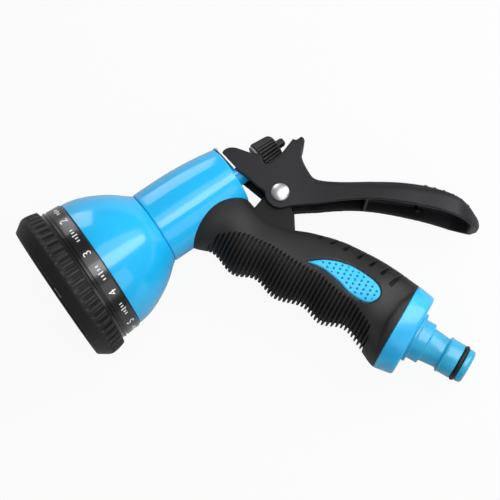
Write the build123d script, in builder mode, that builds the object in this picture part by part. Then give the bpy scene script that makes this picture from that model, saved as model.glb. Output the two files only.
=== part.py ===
from build123d import *
import os

os.makedirs("parts", exist_ok=True)

# Hose spray nozzle, rear lever type, in millimetres.
# It lies on its side: +Z is up, +X runs from the spray head towards the hose end.
# The origin is on the handle axis, in the middle of the nose of the hose nipple.

# ---------------------------------------------------------------- driving dimensions
# Pose on a level surface
lean_about_x = -4.707
lean_about_y = 6.550
spray_angle = 35.0            # spray axis against the lever's length, seen from the side
handle_angle = -30.4          # handle axis against the same line

# Clearances
running_gap = 0.05            # shaft in hole, radial
face_gap = 0.3                # between parts that turn or slide past each other
seat_gap = 0.15               # between parts that meet only under load
slot_gap = 0.8                # round the stem and the knob, which tilt against the lever

# Spray head, stations counted back from the front edge
dial_rim_r = 31.6
ring_length = 13.5
ring_front_wall = 1.9         # the ring's walls, outwards from the rim
ring_wall = 5.6
ring_rear_wall = 4.2
ring_chamfer = 5.6
ring_lip = 1.2
ring_lip_reach = 1.4
ring_notches = 50
notch_width = 3.0
notch_depth = 0.95
notch_length = 7.6
face_depth = 2.2
pattern_count = 10
pattern_circle_r = 18.0
pattern_recess_r = 5.3
pattern_recess = 0.4
fine_hole_r = 0.6
mist_hole_r = 0.9
mist_pitch = 4.4
jet_r = 1.5
soaker_r = 3.0
shower_ring_r = 2.1
full_ring_r = 3.2
cone_ring_r = 4.2
cone_holes = 14
slot_length = 9.0
slot_width = 1.2
fan_pitch = 2.3
band_length = 10.3
band_front_wall = 1.8         # the band's walls, outwards from the rim
band_rear_wall = 1.1
band_groove = 2.5             # groove behind the bead next to the ring
band_groove_width = 0.8
band_groove_depth = 0.4
band_wall = 1.8
dial_wall = 2.2
divider_depth = 10.6
divider_width = 1.8
sealing_plate = 3.0
dial_hub_r = 7.0
outlet_r = 3.4
port_disc_depth = 3.0
disc_boss_wall = 3.4
port_gap = 2.5                # sealing plate to port disc
journal_r = 4.0
journal_end_gap = 0.2
port_seal_r = 5.6
detent_circle_r = 24.0
detent_ball_r = 1.8
detent_bite = 0.5
detent_spring_wire = 0.4
detent_spring_turns = 5
detent_pocket = 7.5
detent_wall = 1.4
face_screw_r = 1.6
face_screw_grip = 18.0
face_screw_head_r = 3.6
face_screw_head = 1.7
face_screw_slot = 0.9
face_washer_r = 5.6
face_washer_depth = 0.8

# Bell and barrel
bell_length = 29.9
bell_step = 0.1               # the bell's front edge, inwards from the band
bell_wall = 3.0
mouth_depth = 5.2
mouth_wall = 3.8
# share of the bell's length, share of its drop from front radius to neck radius
bell_curve = [(0, 1), (0.185, 0.94), (0.39, 0.80), (0.62, 0.564), (0.79, 0.336), (0.91, 0.134), (1, 0)]
neck_r = 17.7
spigot_length = 7.0
spigot_wall = 2.2
barrel_length = 43.5
barrel_r = 18.0
barrel_straight = 14.0
barrel_rear_r = 15.0
barrel_wall = 3.6
barrel_crown = 0.3            # share of the taper dropped by its middle
barrel_edge = 1.4
barrel_end_wall = 8.0

# Valve
seat_depth = 3.0
seat_bore_r = 4.8
seat_lip_r = 6.6
seat_lip = 0.8
chamber_r = 12.0
plunger_r = 8.6
plunger_seal_depth = 2.4
plunger_depth = 4.2
stem_r = 2.1
stem_tip = 4.0
stem_head_r = 3.4
stem_head = 1.4
valve_spring_wire = 0.9
valve_spring_r = 4.1
valve_spring_turns = 7
gland_r = 6.4
gland_reach = 6.5
gland_thread_r = 5.2
gland_thread = 9.0
gland_ring_wire = 1.5

# Lever, its pivot and its bracket
pivot_behind_barrel = 12.8
pivot_drop = 21.2
bearing_offset = 1.5          # pivot to the washer's seat, along the spray axis
lever_width = 18.8
lever_mid_width = 24.8
lever_tail_width = 26.6
lever_wall = 2.2
cheek_wall = 2.2
lever_boss_r = 7.0
nose_plate_depth = 0.8
nose_plate_top_r = 15.2
nose_plate_tilt = 7.0
bracket_boss_r = 5.0
# along and above the handle axis, inside the handle's core
bracket_feet = [(-86.0, -3.3), (-67.0, -6.0), (-54.7, 1.2)]
bracket_tenon_inset = 2.9
tenon_station = -71.0         # along the handle axis, from the collar
tenon_length = 11.0
tenon_floor = 2.0             # wall left over the waterway
tenon_height = 6.0
rivet_r = 2.4
rivet_head_r = 4.35
rivet_head = 2.0
bearing_r = 9.0               # crown of the lever's bearing wall under the washer
bearing_centre = -2.4         # its height over the spray axis
bearing_wall = 3.2
bearing_height = 7.2
# X and Y from the pivot, along and across the lever's length
horn = [(6.0, 25.8), (7.3, 25.2), (8.4, 25.7), (9.6, 26.9), (11.0, 26.2), (11.5, 24.6)]
horn_root = [(10.0, 17.6), (13.5, 9.3)]
lever_back = [(21.5, 5.3), (41.5, 5.2), (61.5, 3.8), (75.0, 0.9), (84.0, -3.4), (89.6, -8.8)]
lever_tail = [(92.3, -13.8), (91.6, -15.8), (88.8, -15.6)]
lever_underside = [(81.5, -11.6), (61.5, -5.4), (41.5, -2.3), (21.5, -3.3)]
lever_heel = 1.9
horn_hollow = [(6.9, 22.0), (8.6, 21.6), (7.8, 17.2), (11.6, 7.9)]
# station from the pivot and radius, along and across the spray axis
lever_nose_height = 8.8
nose_back = [(-9.2, 10.3), (-6.5, 9.6), (-3.9, 7.3), (0.2, 1.4)]
knob_cradle = [(1.2, -5.8), (4.8, -7.0), (10.9, -6.3)]
nose_hollow = [(-18.8, 6.9), (-6.8, 7.6), (-2.2, 2.6), (-2.0, 0.0), (-1.2, -7.6), (4.8, -9.2),
               (11.8, -8.5)]
stiffener = 1.4
stiffener_stations = (40.0, 65.5)
thumb_rib_count = 6
thumb_rib_r = 0.5
thumb_rib_start = 0.585       # shares of the length of the lever's back
thumb_rib_pitch = 0.0564

# Adjusting knob
knob_washer_r = 6.6
knob_washer_depth = 1.2
knob_r = 7.2
knob_rear_r = 6.2
knob_length = 10.4
knob_flutes = 18
knob_flute_r = 0.7

# Handle, stations counted forward from the collar
axes_meet = 18.4              # bell seam to the point where the two axes meet
handle_run = 111.3            # that point to the collar
sleeve_wall = 2.6
waterway_r = 6.2
# distance from the collar, height above the axis, depth below it, half width
grip_sections = [
    (0, 21.2, 21.2, 21.2),
    (11, 22.4, 16.4, 19.4),
    (20.5, 22.9, 13.2, 18.0),
    (31, 22.6, 16.7, 17.0),
    (41.4, 21.5, 13.9, 16.2),
    (54.8, 18.1, 17.0, 15.4),
    (66.8, 13.7, 13.7, 15.0),
    (77, 13.2, 17.0, 15.0),
    (89.5, 16.9, 13.1, 15.2),
    (106, 17.4, 17.0, 15.0),
]
grip_steps = 20
rib_pitch = 2.05
rib_groove = 1.3              # width of the groove between two ribs
rib_depth = 1.2
rib_grooves = 41
first_rib_groove = 4          # in pitches from the collar
# upper end of the grooves, along and above the handle axis
rib_edge = [(-7.6, -15.5), (-10.0, -9.0), (-17.2, -4.9), (-31.1, -1.8), (-46.6, 0.3), (-64.2, 1.2),
            (-79.4, -0.1), (-88.6, -4.8), (-92.8, -13.4)]
# teardrop inset, along and above the handle axis, from its tip round and back
teardrop_upper = [(-48.0, 2.0), (-41.7, 6.9), (-34.0, 9.7), (-25.8, 10.4), (-15.9, 8.7)]
teardrop_end = (-12.2, 4.3)
teardrop_lower = [(-15.6, -0.9), (-24.5, -1.0), (-31.4, 1.2), (-40.1, 2.6), (-48.0, 2.0)]

# Collar and hose nipple, stations counted from the collar outwards
collar_length = 9.3
collar_r = 21.2
collar_rear_r = 19.8
collar_edge = 1.5
flange_r = 12.0
flange = 1.6
nipple_thread_r = 9.0
nipple_thread = 9.0
nipple_base_r = 9.85
nipple_base = 5.3
waist_front_r = 8.2
waist_rear_r = 7.4
waist = 8.2
shoulder_r = 8.9
shoulder = 1.6
land_r = 8.4
land = 6.1
hose_ring_r = 8.75
hose_ring_wire = 2.4
tip_r = 8.0
tip = 3.3
tip_edge = 1.0
nipple_bore_r = 5.0
inlet_washer_depth = 2.0
inlet_filter_depth = 1.2

# ---------------------------------------------------------------- stations
ring_front_r = dial_rim_r + ring_front_wall
ring_r = dial_rim_r + ring_wall
ring_rear_r = dial_rim_r + ring_rear_wall
band_front_r = dial_rim_r + band_front_wall
band_rear_r = dial_rim_r + band_rear_wall
face_front = ring_lip
dial_front = face_front + face_depth
divider_end = dial_front + divider_depth
dial_plate_rear = divider_end + sealing_plate
dial_rear = ring_length + band_length
groove_front = ring_length + band_groove
band_bore_r = band_rear_r - band_wall
divider_r = dial_rim_r - dial_wall
journal_front = dial_front - journal_end_gap
face_screw_end = journal_front + face_screw_grip
ball_station = dial_plate_rear + detent_ball_r - detent_bite
bell_front = dial_rear + face_gap
disc_front = dial_plate_rear + port_gap
disc_rear = disc_front + port_disc_depth
bell_front_r = band_rear_r - bell_step
mouth_r = bell_front_r - mouth_wall
bell_rear = bell_front + bell_length
spigot_end = bell_rear + spigot_length
spigot_r = barrel_r - barrel_wall
seat_end = spigot_end + seat_depth
chamber_end = bell_rear + barrel_length - barrel_end_wall
barrel_end = bell_rear + barrel_length
plunger_front = seat_end + seat_lip + running_gap
plunger_back = plunger_front + plunger_seal_depth + plunger_depth
gland_front = barrel_end - gland_thread
gland_end = barrel_end + gland_reach
pivot_station = barrel_end + pivot_behind_barrel
bearing_station = pivot_station + bearing_offset
washer_front = bearing_station + seat_gap
knob_front = washer_front + knob_washer_depth
knob_end = knob_front + knob_length
stem_end = knob_end + stem_tip
lever_inner = lever_width / 2 - cheek_wall
lever_length = lever_tail[0][0]
plate_touch_r = barrel_rear_r - barrel_edge

flange_end = collar_length + flange
base_end = flange_end + nipple_base
waist_end = base_end + waist
land_start = waist_end + shoulder
land_end = land_start + land
groove_end = land_end + hose_ring_wire
tip_end = groove_end + tip
nipple_start = collar_length - nipple_thread
washer_start = nipple_start - inlet_washer_depth
filter_start = washer_start - inlet_filter_depth
nose_middle = groove_end + (tip - tip_edge) / 2
grip_reach = grip_sections[-1][0]

# ---------------------------------------------------------------- reference planes
# Each plane lies in the nozzle's plane of symmetry, and its X runs along the named axis.
lying = Location((0, 0, 0), (lean_about_x, lean_about_y, 0))
handle = Plane(lying * Location((0, 0, 0), (0, 0, handle_angle)) * Location((-nose_middle, 0, 0)))
meeting = Plane(handle.location * Location((-handle_run, 0, 0)))
spray = Plane(
    meeting.location
    * Location((0, 0, 0), (0, 0, spray_angle - handle_angle))
    * Location((-bell_rear - axes_meet, 0, 0))
)
pivot = Plane(spray.location * Location((pivot_station, -pivot_drop, 0), (0, 0, -spray_angle)))
spray_axis = Axis(spray.origin, spray.x_dir)
handle_axis = Axis(handle.origin, handle.x_dir)
pivot_axis = Axis(pivot.origin, pivot.z_dir)


def across(plane, distance):
    """Plane square to the given plane's X, that far along it, with Y kept."""
    return Plane(plane.location * Location((distance, 0, 0), (0, 90, 0)))


def seen_from_above(plane):
    """Plane through the given plane's X, with the nozzle's width as its Y."""
    return Plane(plane.location * Location((0, 0, 0), (90, 0, 0)))


def outline(*points):
    """Face in the open sketch, with a closed outline of straight runs."""
    Polygon(*points, align=None)


def on_pivot(station, radius):
    """Station and radius of the spray axis, as X and Y of the pivot's plane."""
    along = station - pivot_station
    over = radius + pivot_drop
    turned = Vector(along, over, 0).rotate(Axis.Z, spray_angle)
    return (turned.X, turned.Y)


def from_handle(along, above):
    """Point of the handle's plane, as X and Y of the pivot's plane."""
    point = pivot.to_local_coords(handle.from_local_coords((along, above, 0)))
    return (point.X, point.Y)


# ---------------------------------------------------------------- spray head
def pattern_place(number):
    """Place of one pattern on the circle that they share, counted round from the top."""
    return PolarLocations(pattern_circle_r, 1, start_angle=90 + 360 * number / pattern_count)


notch_front = ring_length - notch_length
notch_front_r = ring_r - (notch_front - ring_chamfer) / (ring_length - ring_chamfer) * (ring_r - ring_rear_r)
with BuildPart() as ring_notch_form:
    with BuildSketch(spray):
        outline(
            (notch_front, notch_front_r - notch_depth),
            (ring_length + 1, ring_rear_r - notch_depth),
            (ring_length + 1, ring_r + 1),
            (notch_front, ring_r + 1),
        )
    extrude(amount=notch_width / 2, both=True)

with BuildPart() as dial_grip_ring:
    with BuildSketch(spray):
        outline(
            (0, dial_rim_r - ring_lip_reach),
            (0, ring_front_r),
            (ring_chamfer, ring_r),
            (ring_length, ring_rear_r),
            (ring_length, dial_rim_r),
            (ring_lip, dial_rim_r),
            (ring_lip, dial_rim_r - ring_lip_reach),
        )
    revolve(axis=spray_axis)
    for notch in range(ring_notches):
        add(ring_notch_form.part.rotate(spray_axis, 360 * notch / ring_notches), mode=Mode.SUBTRACT)
dial_grip_ring.part.label = "dial_grip_ring"
export_step(dial_grip_ring.part, "parts/dial_grip_ring.step")

with BuildPart() as spray_face:
    with BuildSketch(across(spray, face_front)):
        Circle(dial_rim_r)
        Circle(face_washer_r + face_gap, mode=Mode.SUBTRACT)
    extrude(amount=face_depth)
    with BuildSketch(across(spray, face_front)):
        with PolarLocations(pattern_circle_r, pattern_count, start_angle=90):
            Circle(pattern_recess_r)
    extrude(amount=pattern_recess, mode=Mode.SUBTRACT)
    with BuildSketch(across(spray, face_front)):
        with pattern_place(0):                                            # shower
            Circle(fine_hole_r)
            with PolarLocations(shower_ring_r, 6):
                Circle(fine_hole_r)
            with PolarLocations(2 * shower_ring_r, 12):
                Circle(fine_hole_r)
        with pattern_place(1):                                            # angled spray
            SlotOverall(slot_length, slot_width, rotation=45)
        with pattern_place(2):                                            # flat spray
            SlotOverall(slot_length, slot_width, rotation=90)
        with pattern_place(3):                                            # cone
            with PolarLocations(cone_ring_r, cone_holes):
                Circle(fine_hole_r)
        with pattern_place(4):                                            # soaker
            Circle(soaker_r)
        with pattern_place(5):                                            # jet
            Circle(jet_r)
        with pattern_place(6):                                            # mist
            with GridLocations(mist_pitch, mist_pitch, 2, 2):
                Circle(mist_hole_r)
        with pattern_place(7):                                            # full
            with PolarLocations(full_ring_r, 8):
                Circle(mist_hole_r)
        with pattern_place(8):                                            # middle
            Circle(fine_hole_r)
            with PolarLocations(shower_ring_r, 6):
                Circle(fine_hole_r)
        with pattern_place(9):                                            # fan
            with GridLocations(0, fan_pitch, 1, 3):
                SlotOverall(slot_length, slot_width)
    extrude(amount=face_depth, mode=Mode.SUBTRACT)
spray_face.part.label = "spray_face"
export_step(spray_face.part, "parts/spray_face.step")

with BuildPart() as selector_dial:
    with BuildSketch(spray):
        outline(
            (dial_front, divider_r),
            (dial_front, dial_rim_r),
            (ring_length, dial_rim_r),
            (ring_length, band_front_r),
            (groove_front, band_front_r),
            (groove_front, band_front_r - band_groove_depth),
            (groove_front + band_groove_width, band_front_r - band_groove_depth),
            (groove_front + band_groove_width, band_front_r),
            (dial_rear, band_rear_r),
            (dial_rear, band_bore_r),
            (dial_plate_rear, band_bore_r),
            (dial_plate_rear, journal_r + running_gap),
            (dial_front, journal_r + running_gap),
            (dial_front, dial_hub_r),
            (divider_end, dial_hub_r),
            (divider_end, divider_r),
        )
    revolve(axis=spray_axis)
    with BuildSketch(across(spray, dial_front)):                          # chamber walls
        with PolarLocations((dial_hub_r + divider_r) / 2, pattern_count,
                            start_angle=90 + 180 / pattern_count):
            Rectangle(divider_r - dial_hub_r + 1, divider_width)
    extrude(amount=divider_depth)
    with BuildSketch(across(spray, divider_end)):                         # one port for each
        with PolarLocations(pattern_circle_r, pattern_count, start_angle=90):
            Circle(outlet_r)
    extrude(amount=sealing_plate, mode=Mode.SUBTRACT)
    with BuildSketch(spray):                                              # detent track
        with Locations((ball_station, detent_circle_r)):
            Circle(detent_ball_r + face_gap)
    revolve(axis=spray_axis, mode=Mode.SUBTRACT)
    with Locations(across(spray, ball_station - detent_bite).location):   # and its dimples
        with PolarLocations(detent_circle_r, pattern_count, start_angle=90):
            Sphere(detent_ball_r + face_gap, mode=Mode.SUBTRACT)
selector_dial.part.label = "selector_dial"
export_step(selector_dial.part, "parts/selector_dial.step")

disc_r = band_bore_r - face_gap
disc_spigot_r = mouth_r - 1.9
disc_boss_r = face_screw_r + disc_boss_wall
tower_r = detent_ball_r + detent_wall
with BuildPart() as port_disc:
    with BuildSketch(spray):
        outline(
            (journal_front, face_screw_r),
            (journal_front, journal_r),
            (disc_front, journal_r),
            (disc_front, disc_r),
            (bell_front, disc_r),
            (bell_front, mouth_r),
            (bell_front + mouth_depth, mouth_r),
            (bell_front + mouth_depth, disc_spigot_r),
            (disc_rear, disc_spigot_r),
            (disc_rear, disc_boss_r),
            (face_screw_end + 2, disc_boss_r),
            (face_screw_end + 2, 0),
            (face_screw_end, 0),
            (face_screw_end, face_screw_r),
        )
    revolve(axis=spray_axis)
    with BuildSketch(across(spray, disc_front)):                          # detent tower
        with PolarLocations(detent_circle_r, 1, start_angle=270):
            Circle(tower_r)
    extrude(amount=detent_pocket + detent_wall)
    with BuildSketch(across(spray, disc_front)):
        with PolarLocations(detent_circle_r, 1, start_angle=270):
            Circle(detent_ball_r + running_gap)
    extrude(amount=detent_pocket, mode=Mode.SUBTRACT)
    with BuildSketch(across(spray, disc_front)):                          # outlet and its seal
        with PolarLocations(pattern_circle_r, 1, start_angle=90):
            Circle(outlet_r)
    extrude(amount=port_disc_depth, mode=Mode.SUBTRACT)
    with BuildSketch(across(spray, disc_front)):
        with PolarLocations(pattern_circle_r, 1, start_angle=90):
            Circle(port_seal_r)
    extrude(amount=port_disc_depth / 3, mode=Mode.SUBTRACT)
port_disc.part.label = "port_disc"
export_step(port_disc.part, "parts/port_disc.step")

with BuildPart() as port_seal:
    with BuildSketch(across(spray, dial_plate_rear + running_gap)):
        with PolarLocations(pattern_circle_r, 1, start_angle=90):
            Circle(port_seal_r)
            Circle(outlet_r, mode=Mode.SUBTRACT)
    extrude(amount=port_gap - running_gap + port_disc_depth / 3)
port_seal.part.label = "port_seal"
export_step(port_seal.part, "parts/port_seal.step")

with BuildPart() as detent_ball:
    with Locations(across(spray, ball_station).location):
        with PolarLocations(detent_circle_r, 1, start_angle=270):
            Sphere(detent_ball_r)
detent_ball.part.label = "detent_ball"
export_step(detent_ball.part, "parts/detent_ball.step")


def coil_spring(plane, length, radius, wire, turns):
    """Round-wire helix from the plane's origin along its Z, in the open part."""
    with BuildLine() as coil:
        Helix(pitch=(length - wire) / turns, height=length - wire, radius=radius,
              center=plane.from_local_coords((0, 0, wire / 2)), direction=plane.z_dir)
    with BuildSketch(Plane(coil.line @ 0, z_dir=coil.line % 0)) as section:
        Circle(wire / 2)
    sweep(sections=section.sketch, path=coil.line, is_frenet=True)


spring_seat = across(spray, ball_station + detent_ball_r + running_gap)
with BuildPart() as detent_spring:
    coil_spring(
        Plane(spring_seat.location * Location((0, -detent_circle_r, 0))),
        disc_front + detent_pocket - ball_station - detent_ball_r - running_gap,
        detent_ball_r - detent_spring_wire,
        detent_spring_wire,
        detent_spring_turns,
    )
detent_spring.part.label = "detent_spring"
export_step(detent_spring.part, "parts/detent_spring.step")

with BuildPart() as face_washer:
    with BuildSketch(across(spray, journal_front - face_washer_depth)):
        Circle(face_washer_r)
        Circle(face_screw_r, mode=Mode.SUBTRACT)
    extrude(amount=face_washer_depth)
face_washer.part.label = "face_washer"
export_step(face_washer.part, "parts/face_washer.step")

screw_seat = journal_front - face_washer_depth
with BuildPart() as face_screw:
    with BuildSketch(spray):
        outline(
            (screw_seat - face_screw_head, 0),
            (screw_seat - face_screw_head, 0.75 * face_screw_head_r),
            (screw_seat - face_screw_head / 2, face_screw_head_r),
            (screw_seat, face_screw_head_r),
            (screw_seat, face_screw_r),
            (face_screw_end, face_screw_r),
            (face_screw_end, 0),
        )
    revolve(axis=spray_axis)
    with BuildSketch(across(spray, screw_seat - face_screw_head)):        # cross recess
        Rectangle(1.2 * face_screw_head_r, face_screw_slot)
        Rectangle(face_screw_slot, 1.2 * face_screw_head_r)
    extrude(amount=face_screw_slot, mode=Mode.SUBTRACT)
face_screw.part.label = "face_screw"
export_step(face_screw.part, "parts/face_screw.step")

# ---------------------------------------------------------------- bell
def bell_point(share, height, inset=0):
    """Point of the bell's curve in stations and radii, set in by a wall."""
    return (bell_front + share * bell_length,
            neck_r + height * (bell_front_r - neck_r) - inset)


spigot_bore_r = spigot_r - spigot_wall
with BuildPart() as bell_housing:
    with BuildSketch(spray):
        with BuildLine():
            outside = Spline(*[bell_point(*knot) for knot in bell_curve])
            inside = Spline(
                (bell_front + mouth_depth, mouth_r),
                *[bell_point(*knot, bell_wall) for knot in bell_curve[2:-1]],
            )
            Polyline(inside @ 0, (bell_front, mouth_r), outside @ 0)
            Polyline(
                outside @ 1,
                (bell_rear, spigot_r),
                (spigot_end, spigot_r),
                (spigot_end, spigot_bore_r),
                (bell_rear, spigot_bore_r),
                inside @ 1,
            )
        make_face()
    revolve(axis=spray_axis)
bell_housing.part.label = "bell_housing"
export_step(bell_housing.part, "parts/bell_housing.step")

# ---------------------------------------------------------------- outer forms
# Shapes that several pieces share: they are cut from or kept by the pieces below.
with BuildPart() as barrel_form:
    with BuildSketch(spray):
        with BuildLine():
            Polyline((barrel_end, 0), (bell_rear, 0), (bell_rear, barrel_r),
                     (bell_rear + barrel_straight, barrel_r))
            ThreePointArc(
                (bell_rear + barrel_straight, barrel_r),
                ((bell_rear + barrel_straight + barrel_end) / 2,
                 barrel_r - barrel_crown * (barrel_r - barrel_rear_r)),
                (barrel_end, barrel_rear_r),
            )
            Line((barrel_end, barrel_rear_r), (barrel_end, 0))
        make_face()
    revolve(axis=spray_axis)
    fillet(barrel_form.edges().filter_by(GeomType.CIRCLE).sort_by(spray_axis)[-1], barrel_edge)


def handle_size(distance):
    """Top, bottom and half width of the grip at a distance from the collar.

    A smooth (Catmull-Rom) curve through the grip sections.
    """
    last = len(grip_sections) - 2
    near = max(i for i in range(last + 1) if grip_sections[i][0] <= distance)
    before, start, end, after = (
        Vector(*grip_sections[max(near - 1, 0)][1:]),
        Vector(*grip_sections[near][1:]),
        Vector(*grip_sections[near + 1][1:]),
        Vector(*grip_sections[min(near + 2, last + 1)][1:]),
    )
    run = grip_sections[near + 1][0] - grip_sections[near][0]
    share = (distance - grip_sections[near][0]) / run
    bend = (start * 3 - before - end * 3 + after) * share**3
    bend += (before * 2 - start * 5 + end * 4 - after) * share**2
    bend += (end - before) * share
    return start + bend / 2


def handle_ellipses(overrun):
    """Plane, centre height, half height and half width of each loft section."""
    for step in range(grip_steps + 1):
        distance = step * grip_reach / grip_steps
        top, bottom, half_width = handle_size(min(distance, grip_reach - 0.001))
        if step in (0, grip_steps):
            distance += overrun * (2 * step / grip_steps - 1)
        yield across(handle, -distance), (top - bottom) / 2, (top + bottom) / 2, half_width


with BuildPart() as grip_form:
    for plane, centre, half_height, half_width in handle_ellipses(0):
        with BuildSketch(plane):
            with Locations((0, centre)):
                Ellipse(half_width, half_height)
    loft(ruled=True)

with BuildPart() as core_form:
    for plane, centre, half_height, half_width in handle_ellipses(0.5):
        with BuildSketch(plane):
            with Locations((0, centre)):
                Ellipse(half_width - sleeve_wall, half_height - sleeve_wall)
    loft(ruled=True)

with BuildPart() as groove_floor_form:
    for plane, centre, half_height, half_width in handle_ellipses(0.5):
        with BuildSketch(plane):
            with Locations((0, centre)):
                Ellipse(half_width - rib_depth, half_height - rib_depth)
    loft(ruled=True)

with BuildPart() as rib_groove_form:
    with BuildSketch(handle):
        for groove in range(rib_grooves):
            with Locations((-(first_rib_groove + groove) * rib_pitch, 0)):
                Rectangle(rib_groove, 4 * collar_r)
        with BuildLine():
            Spline(*rib_edge)
            Polyline(rib_edge[-1], (rib_edge[-1][0], -2 * collar_r),
                     (rib_edge[0][0], -2 * collar_r), rib_edge[0])
        make_face(mode=Mode.INTERSECT)
    extrude(amount=2 * collar_r, both=True)
    add(groove_floor_form.part, mode=Mode.SUBTRACT)

with BuildPart() as grip_shell:
    add(grip_form.part)
    add(core_form.part, mode=Mode.SUBTRACT)

bracket_half = lever_inner - face_gap
with BuildPart() as bracket_form:
    with BuildSketch(pivot) as bracket_side:
        Circle(bracket_boss_r)
        outline(
            (-0.77 * bracket_boss_r, 0.63 * bracket_boss_r),
            *[from_handle(along, above) for along, above in bracket_feet],
            (bracket_boss_r, 0),
        )
    extrude(amount=bracket_half, both=True)

with BuildPart() as bracket_tenon_form:
    with BuildSketch(handle):
        with Locations((tenon_station, waterway_r + tenon_floor)):
            Rectangle(tenon_length, tenon_height, align=(Align.CENTER, Align.MIN))
    extrude(amount=bracket_half - bracket_tenon_inset, both=True)

# ---------------------------------------------------------------- body
with BuildPart() as nozzle_body:
    add(barrel_form.part)
    add(core_form.part)
    with BuildSketch(handle):                                             # collar
        outline((0, 0), (0, collar_r), (collar_length, collar_rear_r), (collar_length, 0))
    revolve(axis=handle_axis)
    collar_rim = nozzle_body.edges().filter_by(GeomType.CIRCLE).sort_by(handle_axis)[-1]
    fillet(collar_rim, collar_edge)
    with BuildSketch(spray):                                              # valve chamber
        outline(
            (bell_rear, 0),
            (bell_rear, spigot_r),
            (seat_end, spigot_r),
            (seat_end, chamber_r),
            (chamber_end, chamber_r),
            (chamber_end, gland_thread_r),
            (barrel_end, gland_thread_r),
            (barrel_end, 0),
        )
    revolve(axis=spray_axis, mode=Mode.SUBTRACT)
    with BuildSketch(handle):                                             # inlet and waterway
        outline(
            (collar_length, 0),
            (collar_length, nipple_thread_r),
            (filter_start, nipple_thread_r),
            (filter_start, waterway_r),
            (-handle_run, waterway_r),
            (-handle_run, 0),
        )
    revolve(axis=handle_axis, mode=Mode.SUBTRACT)
    add(bracket_tenon_form.part, mode=Mode.SUBTRACT)
nozzle_body.part.label = "nozzle_body"
export_step(nozzle_body.part, "parts/nozzle_body.step")

with BuildPart() as lever_bracket:
    add(bracket_form.part)
    add(core_form.part, mode=Mode.SUBTRACT)
    add(barrel_form.part, mode=Mode.SUBTRACT)
    add(bracket_tenon_form.part)
    with BuildSketch(pivot):
        Circle(rivet_r)
    extrude(amount=lever_width, both=True, mode=Mode.SUBTRACT)
lever_bracket.part.label = "lever_bracket"
export_step(lever_bracket.part, "parts/lever_bracket.step")

with BuildPart() as teardrop_form:
    with BuildSketch(handle):
        with BuildLine():
            Spline(*teardrop_upper, teardrop_end, *teardrop_lower[:-1], teardrop_lower[-1])
        make_face()
    extrude(amount=collar_r + 1, both=True)

for side, direction in (("left", 1), ("right", -1)):
    with BuildPart() as grip_inset:
        add(grip_shell.part)
        add(teardrop_form.part, mode=Mode.INTERSECT)
        with BuildSketch(handle):
            Rectangle(4 * handle_run, 4 * collar_r)
        extrude(amount=direction * 2 * collar_r, mode=Mode.INTERSECT)
    grip_inset.part.label = f"grip_inset_{side}"
    export_step(grip_inset.part, f"parts/grip_inset_{side}.step")

with BuildPart() as grip_sleeve:
    add(grip_shell.part)
    add(teardrop_form.part, mode=Mode.SUBTRACT)
    add(bracket_form.part, mode=Mode.SUBTRACT)
    add(barrel_form.part, mode=Mode.SUBTRACT)
    add(rib_groove_form.part, mode=Mode.SUBTRACT)
grip_sleeve.part.label = "grip_sleeve"
export_step(grip_sleeve.part, "parts/grip_sleeve.step")

# ---------------------------------------------------------------- hose end
with BuildPart() as inlet_filter:
    with BuildSketch(across(handle, filter_start)):
        Circle(nipple_thread_r)
        with HexLocations(1.1, 5, 5):
            Circle(0.55, mode=Mode.SUBTRACT)
    extrude(amount=inlet_filter_depth)
inlet_filter.part.label = "inlet_filter"
export_step(inlet_filter.part, "parts/inlet_filter.step")

with BuildPart() as nipple_washer:
    with BuildSketch(across(handle, washer_start)):
        Circle(nipple_thread_r)
        Circle(nipple_bore_r, mode=Mode.SUBTRACT)
    extrude(amount=inlet_washer_depth)
nipple_washer.part.label = "nipple_washer"
export_step(nipple_washer.part, "parts/nipple_washer.step")

groove_r = hose_ring_r - hose_ring_wire
with BuildPart() as hose_nipple:
    with BuildSketch(handle):
        outline(
            (nipple_start, nipple_bore_r),
            (nipple_start, nipple_thread_r),
            (collar_length, nipple_thread_r),
            (collar_length, flange_r),
            (flange_end, flange_r),
            (flange_end, nipple_base_r),
            (base_end, nipple_base_r),
            (base_end, waist_front_r),
            (waist_end, waist_rear_r),
            (waist_end + shoulder / 2, shoulder_r),
            (land_start, land_r),
            (land_end, land_r),
            (land_end, groove_r),
            (groove_end, groove_r),
            (groove_end, tip_r),
            (tip_end - tip_edge, tip_r),
            (tip_end, tip_r - tip_edge),
            (tip_end, nipple_bore_r),
        )
    revolve(axis=handle_axis)
hose_nipple.part.label = "hose_nipple"
export_step(hose_nipple.part, "parts/hose_nipple.step")

with BuildPart() as nipple_ring:
    with BuildSketch(handle):
        with Locations(((land_end + groove_end) / 2, hose_ring_r - hose_ring_wire / 2)):
            Circle(hose_ring_wire / 2)
    revolve(axis=handle_axis)
nipple_ring.part.label = "nipple_o_ring"
export_step(nipple_ring.part, "parts/nipple_o_ring.step")

# ---------------------------------------------------------------- valve
with BuildPart() as valve_seat:
    with BuildSketch(spray):
        outline(
            (spigot_end, seat_bore_r),
            (spigot_end, spigot_r),
            (seat_end, spigot_r),
            (seat_end, seat_lip_r + 0.8),
            (seat_end + seat_lip, seat_lip_r + 0.3),
            (seat_end + seat_lip, seat_lip_r - 0.3),
            (seat_end, seat_lip_r - 0.8),
            (seat_end, seat_bore_r),
        )
    revolve(axis=spray_axis)
valve_seat.part.label = "valve_seat"
export_step(valve_seat.part, "parts/valve_seat.step")

seal_back = plunger_front + plunger_seal_depth
with BuildPart() as plunger_seal:
    with BuildSketch(across(spray, plunger_front)):
        Circle(plunger_r)
        Circle(stem_r, mode=Mode.SUBTRACT)
    extrude(amount=plunger_seal_depth)
plunger_seal.part.label = "plunger_seal"
export_step(plunger_seal.part, "parts/plunger_seal.step")

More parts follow.
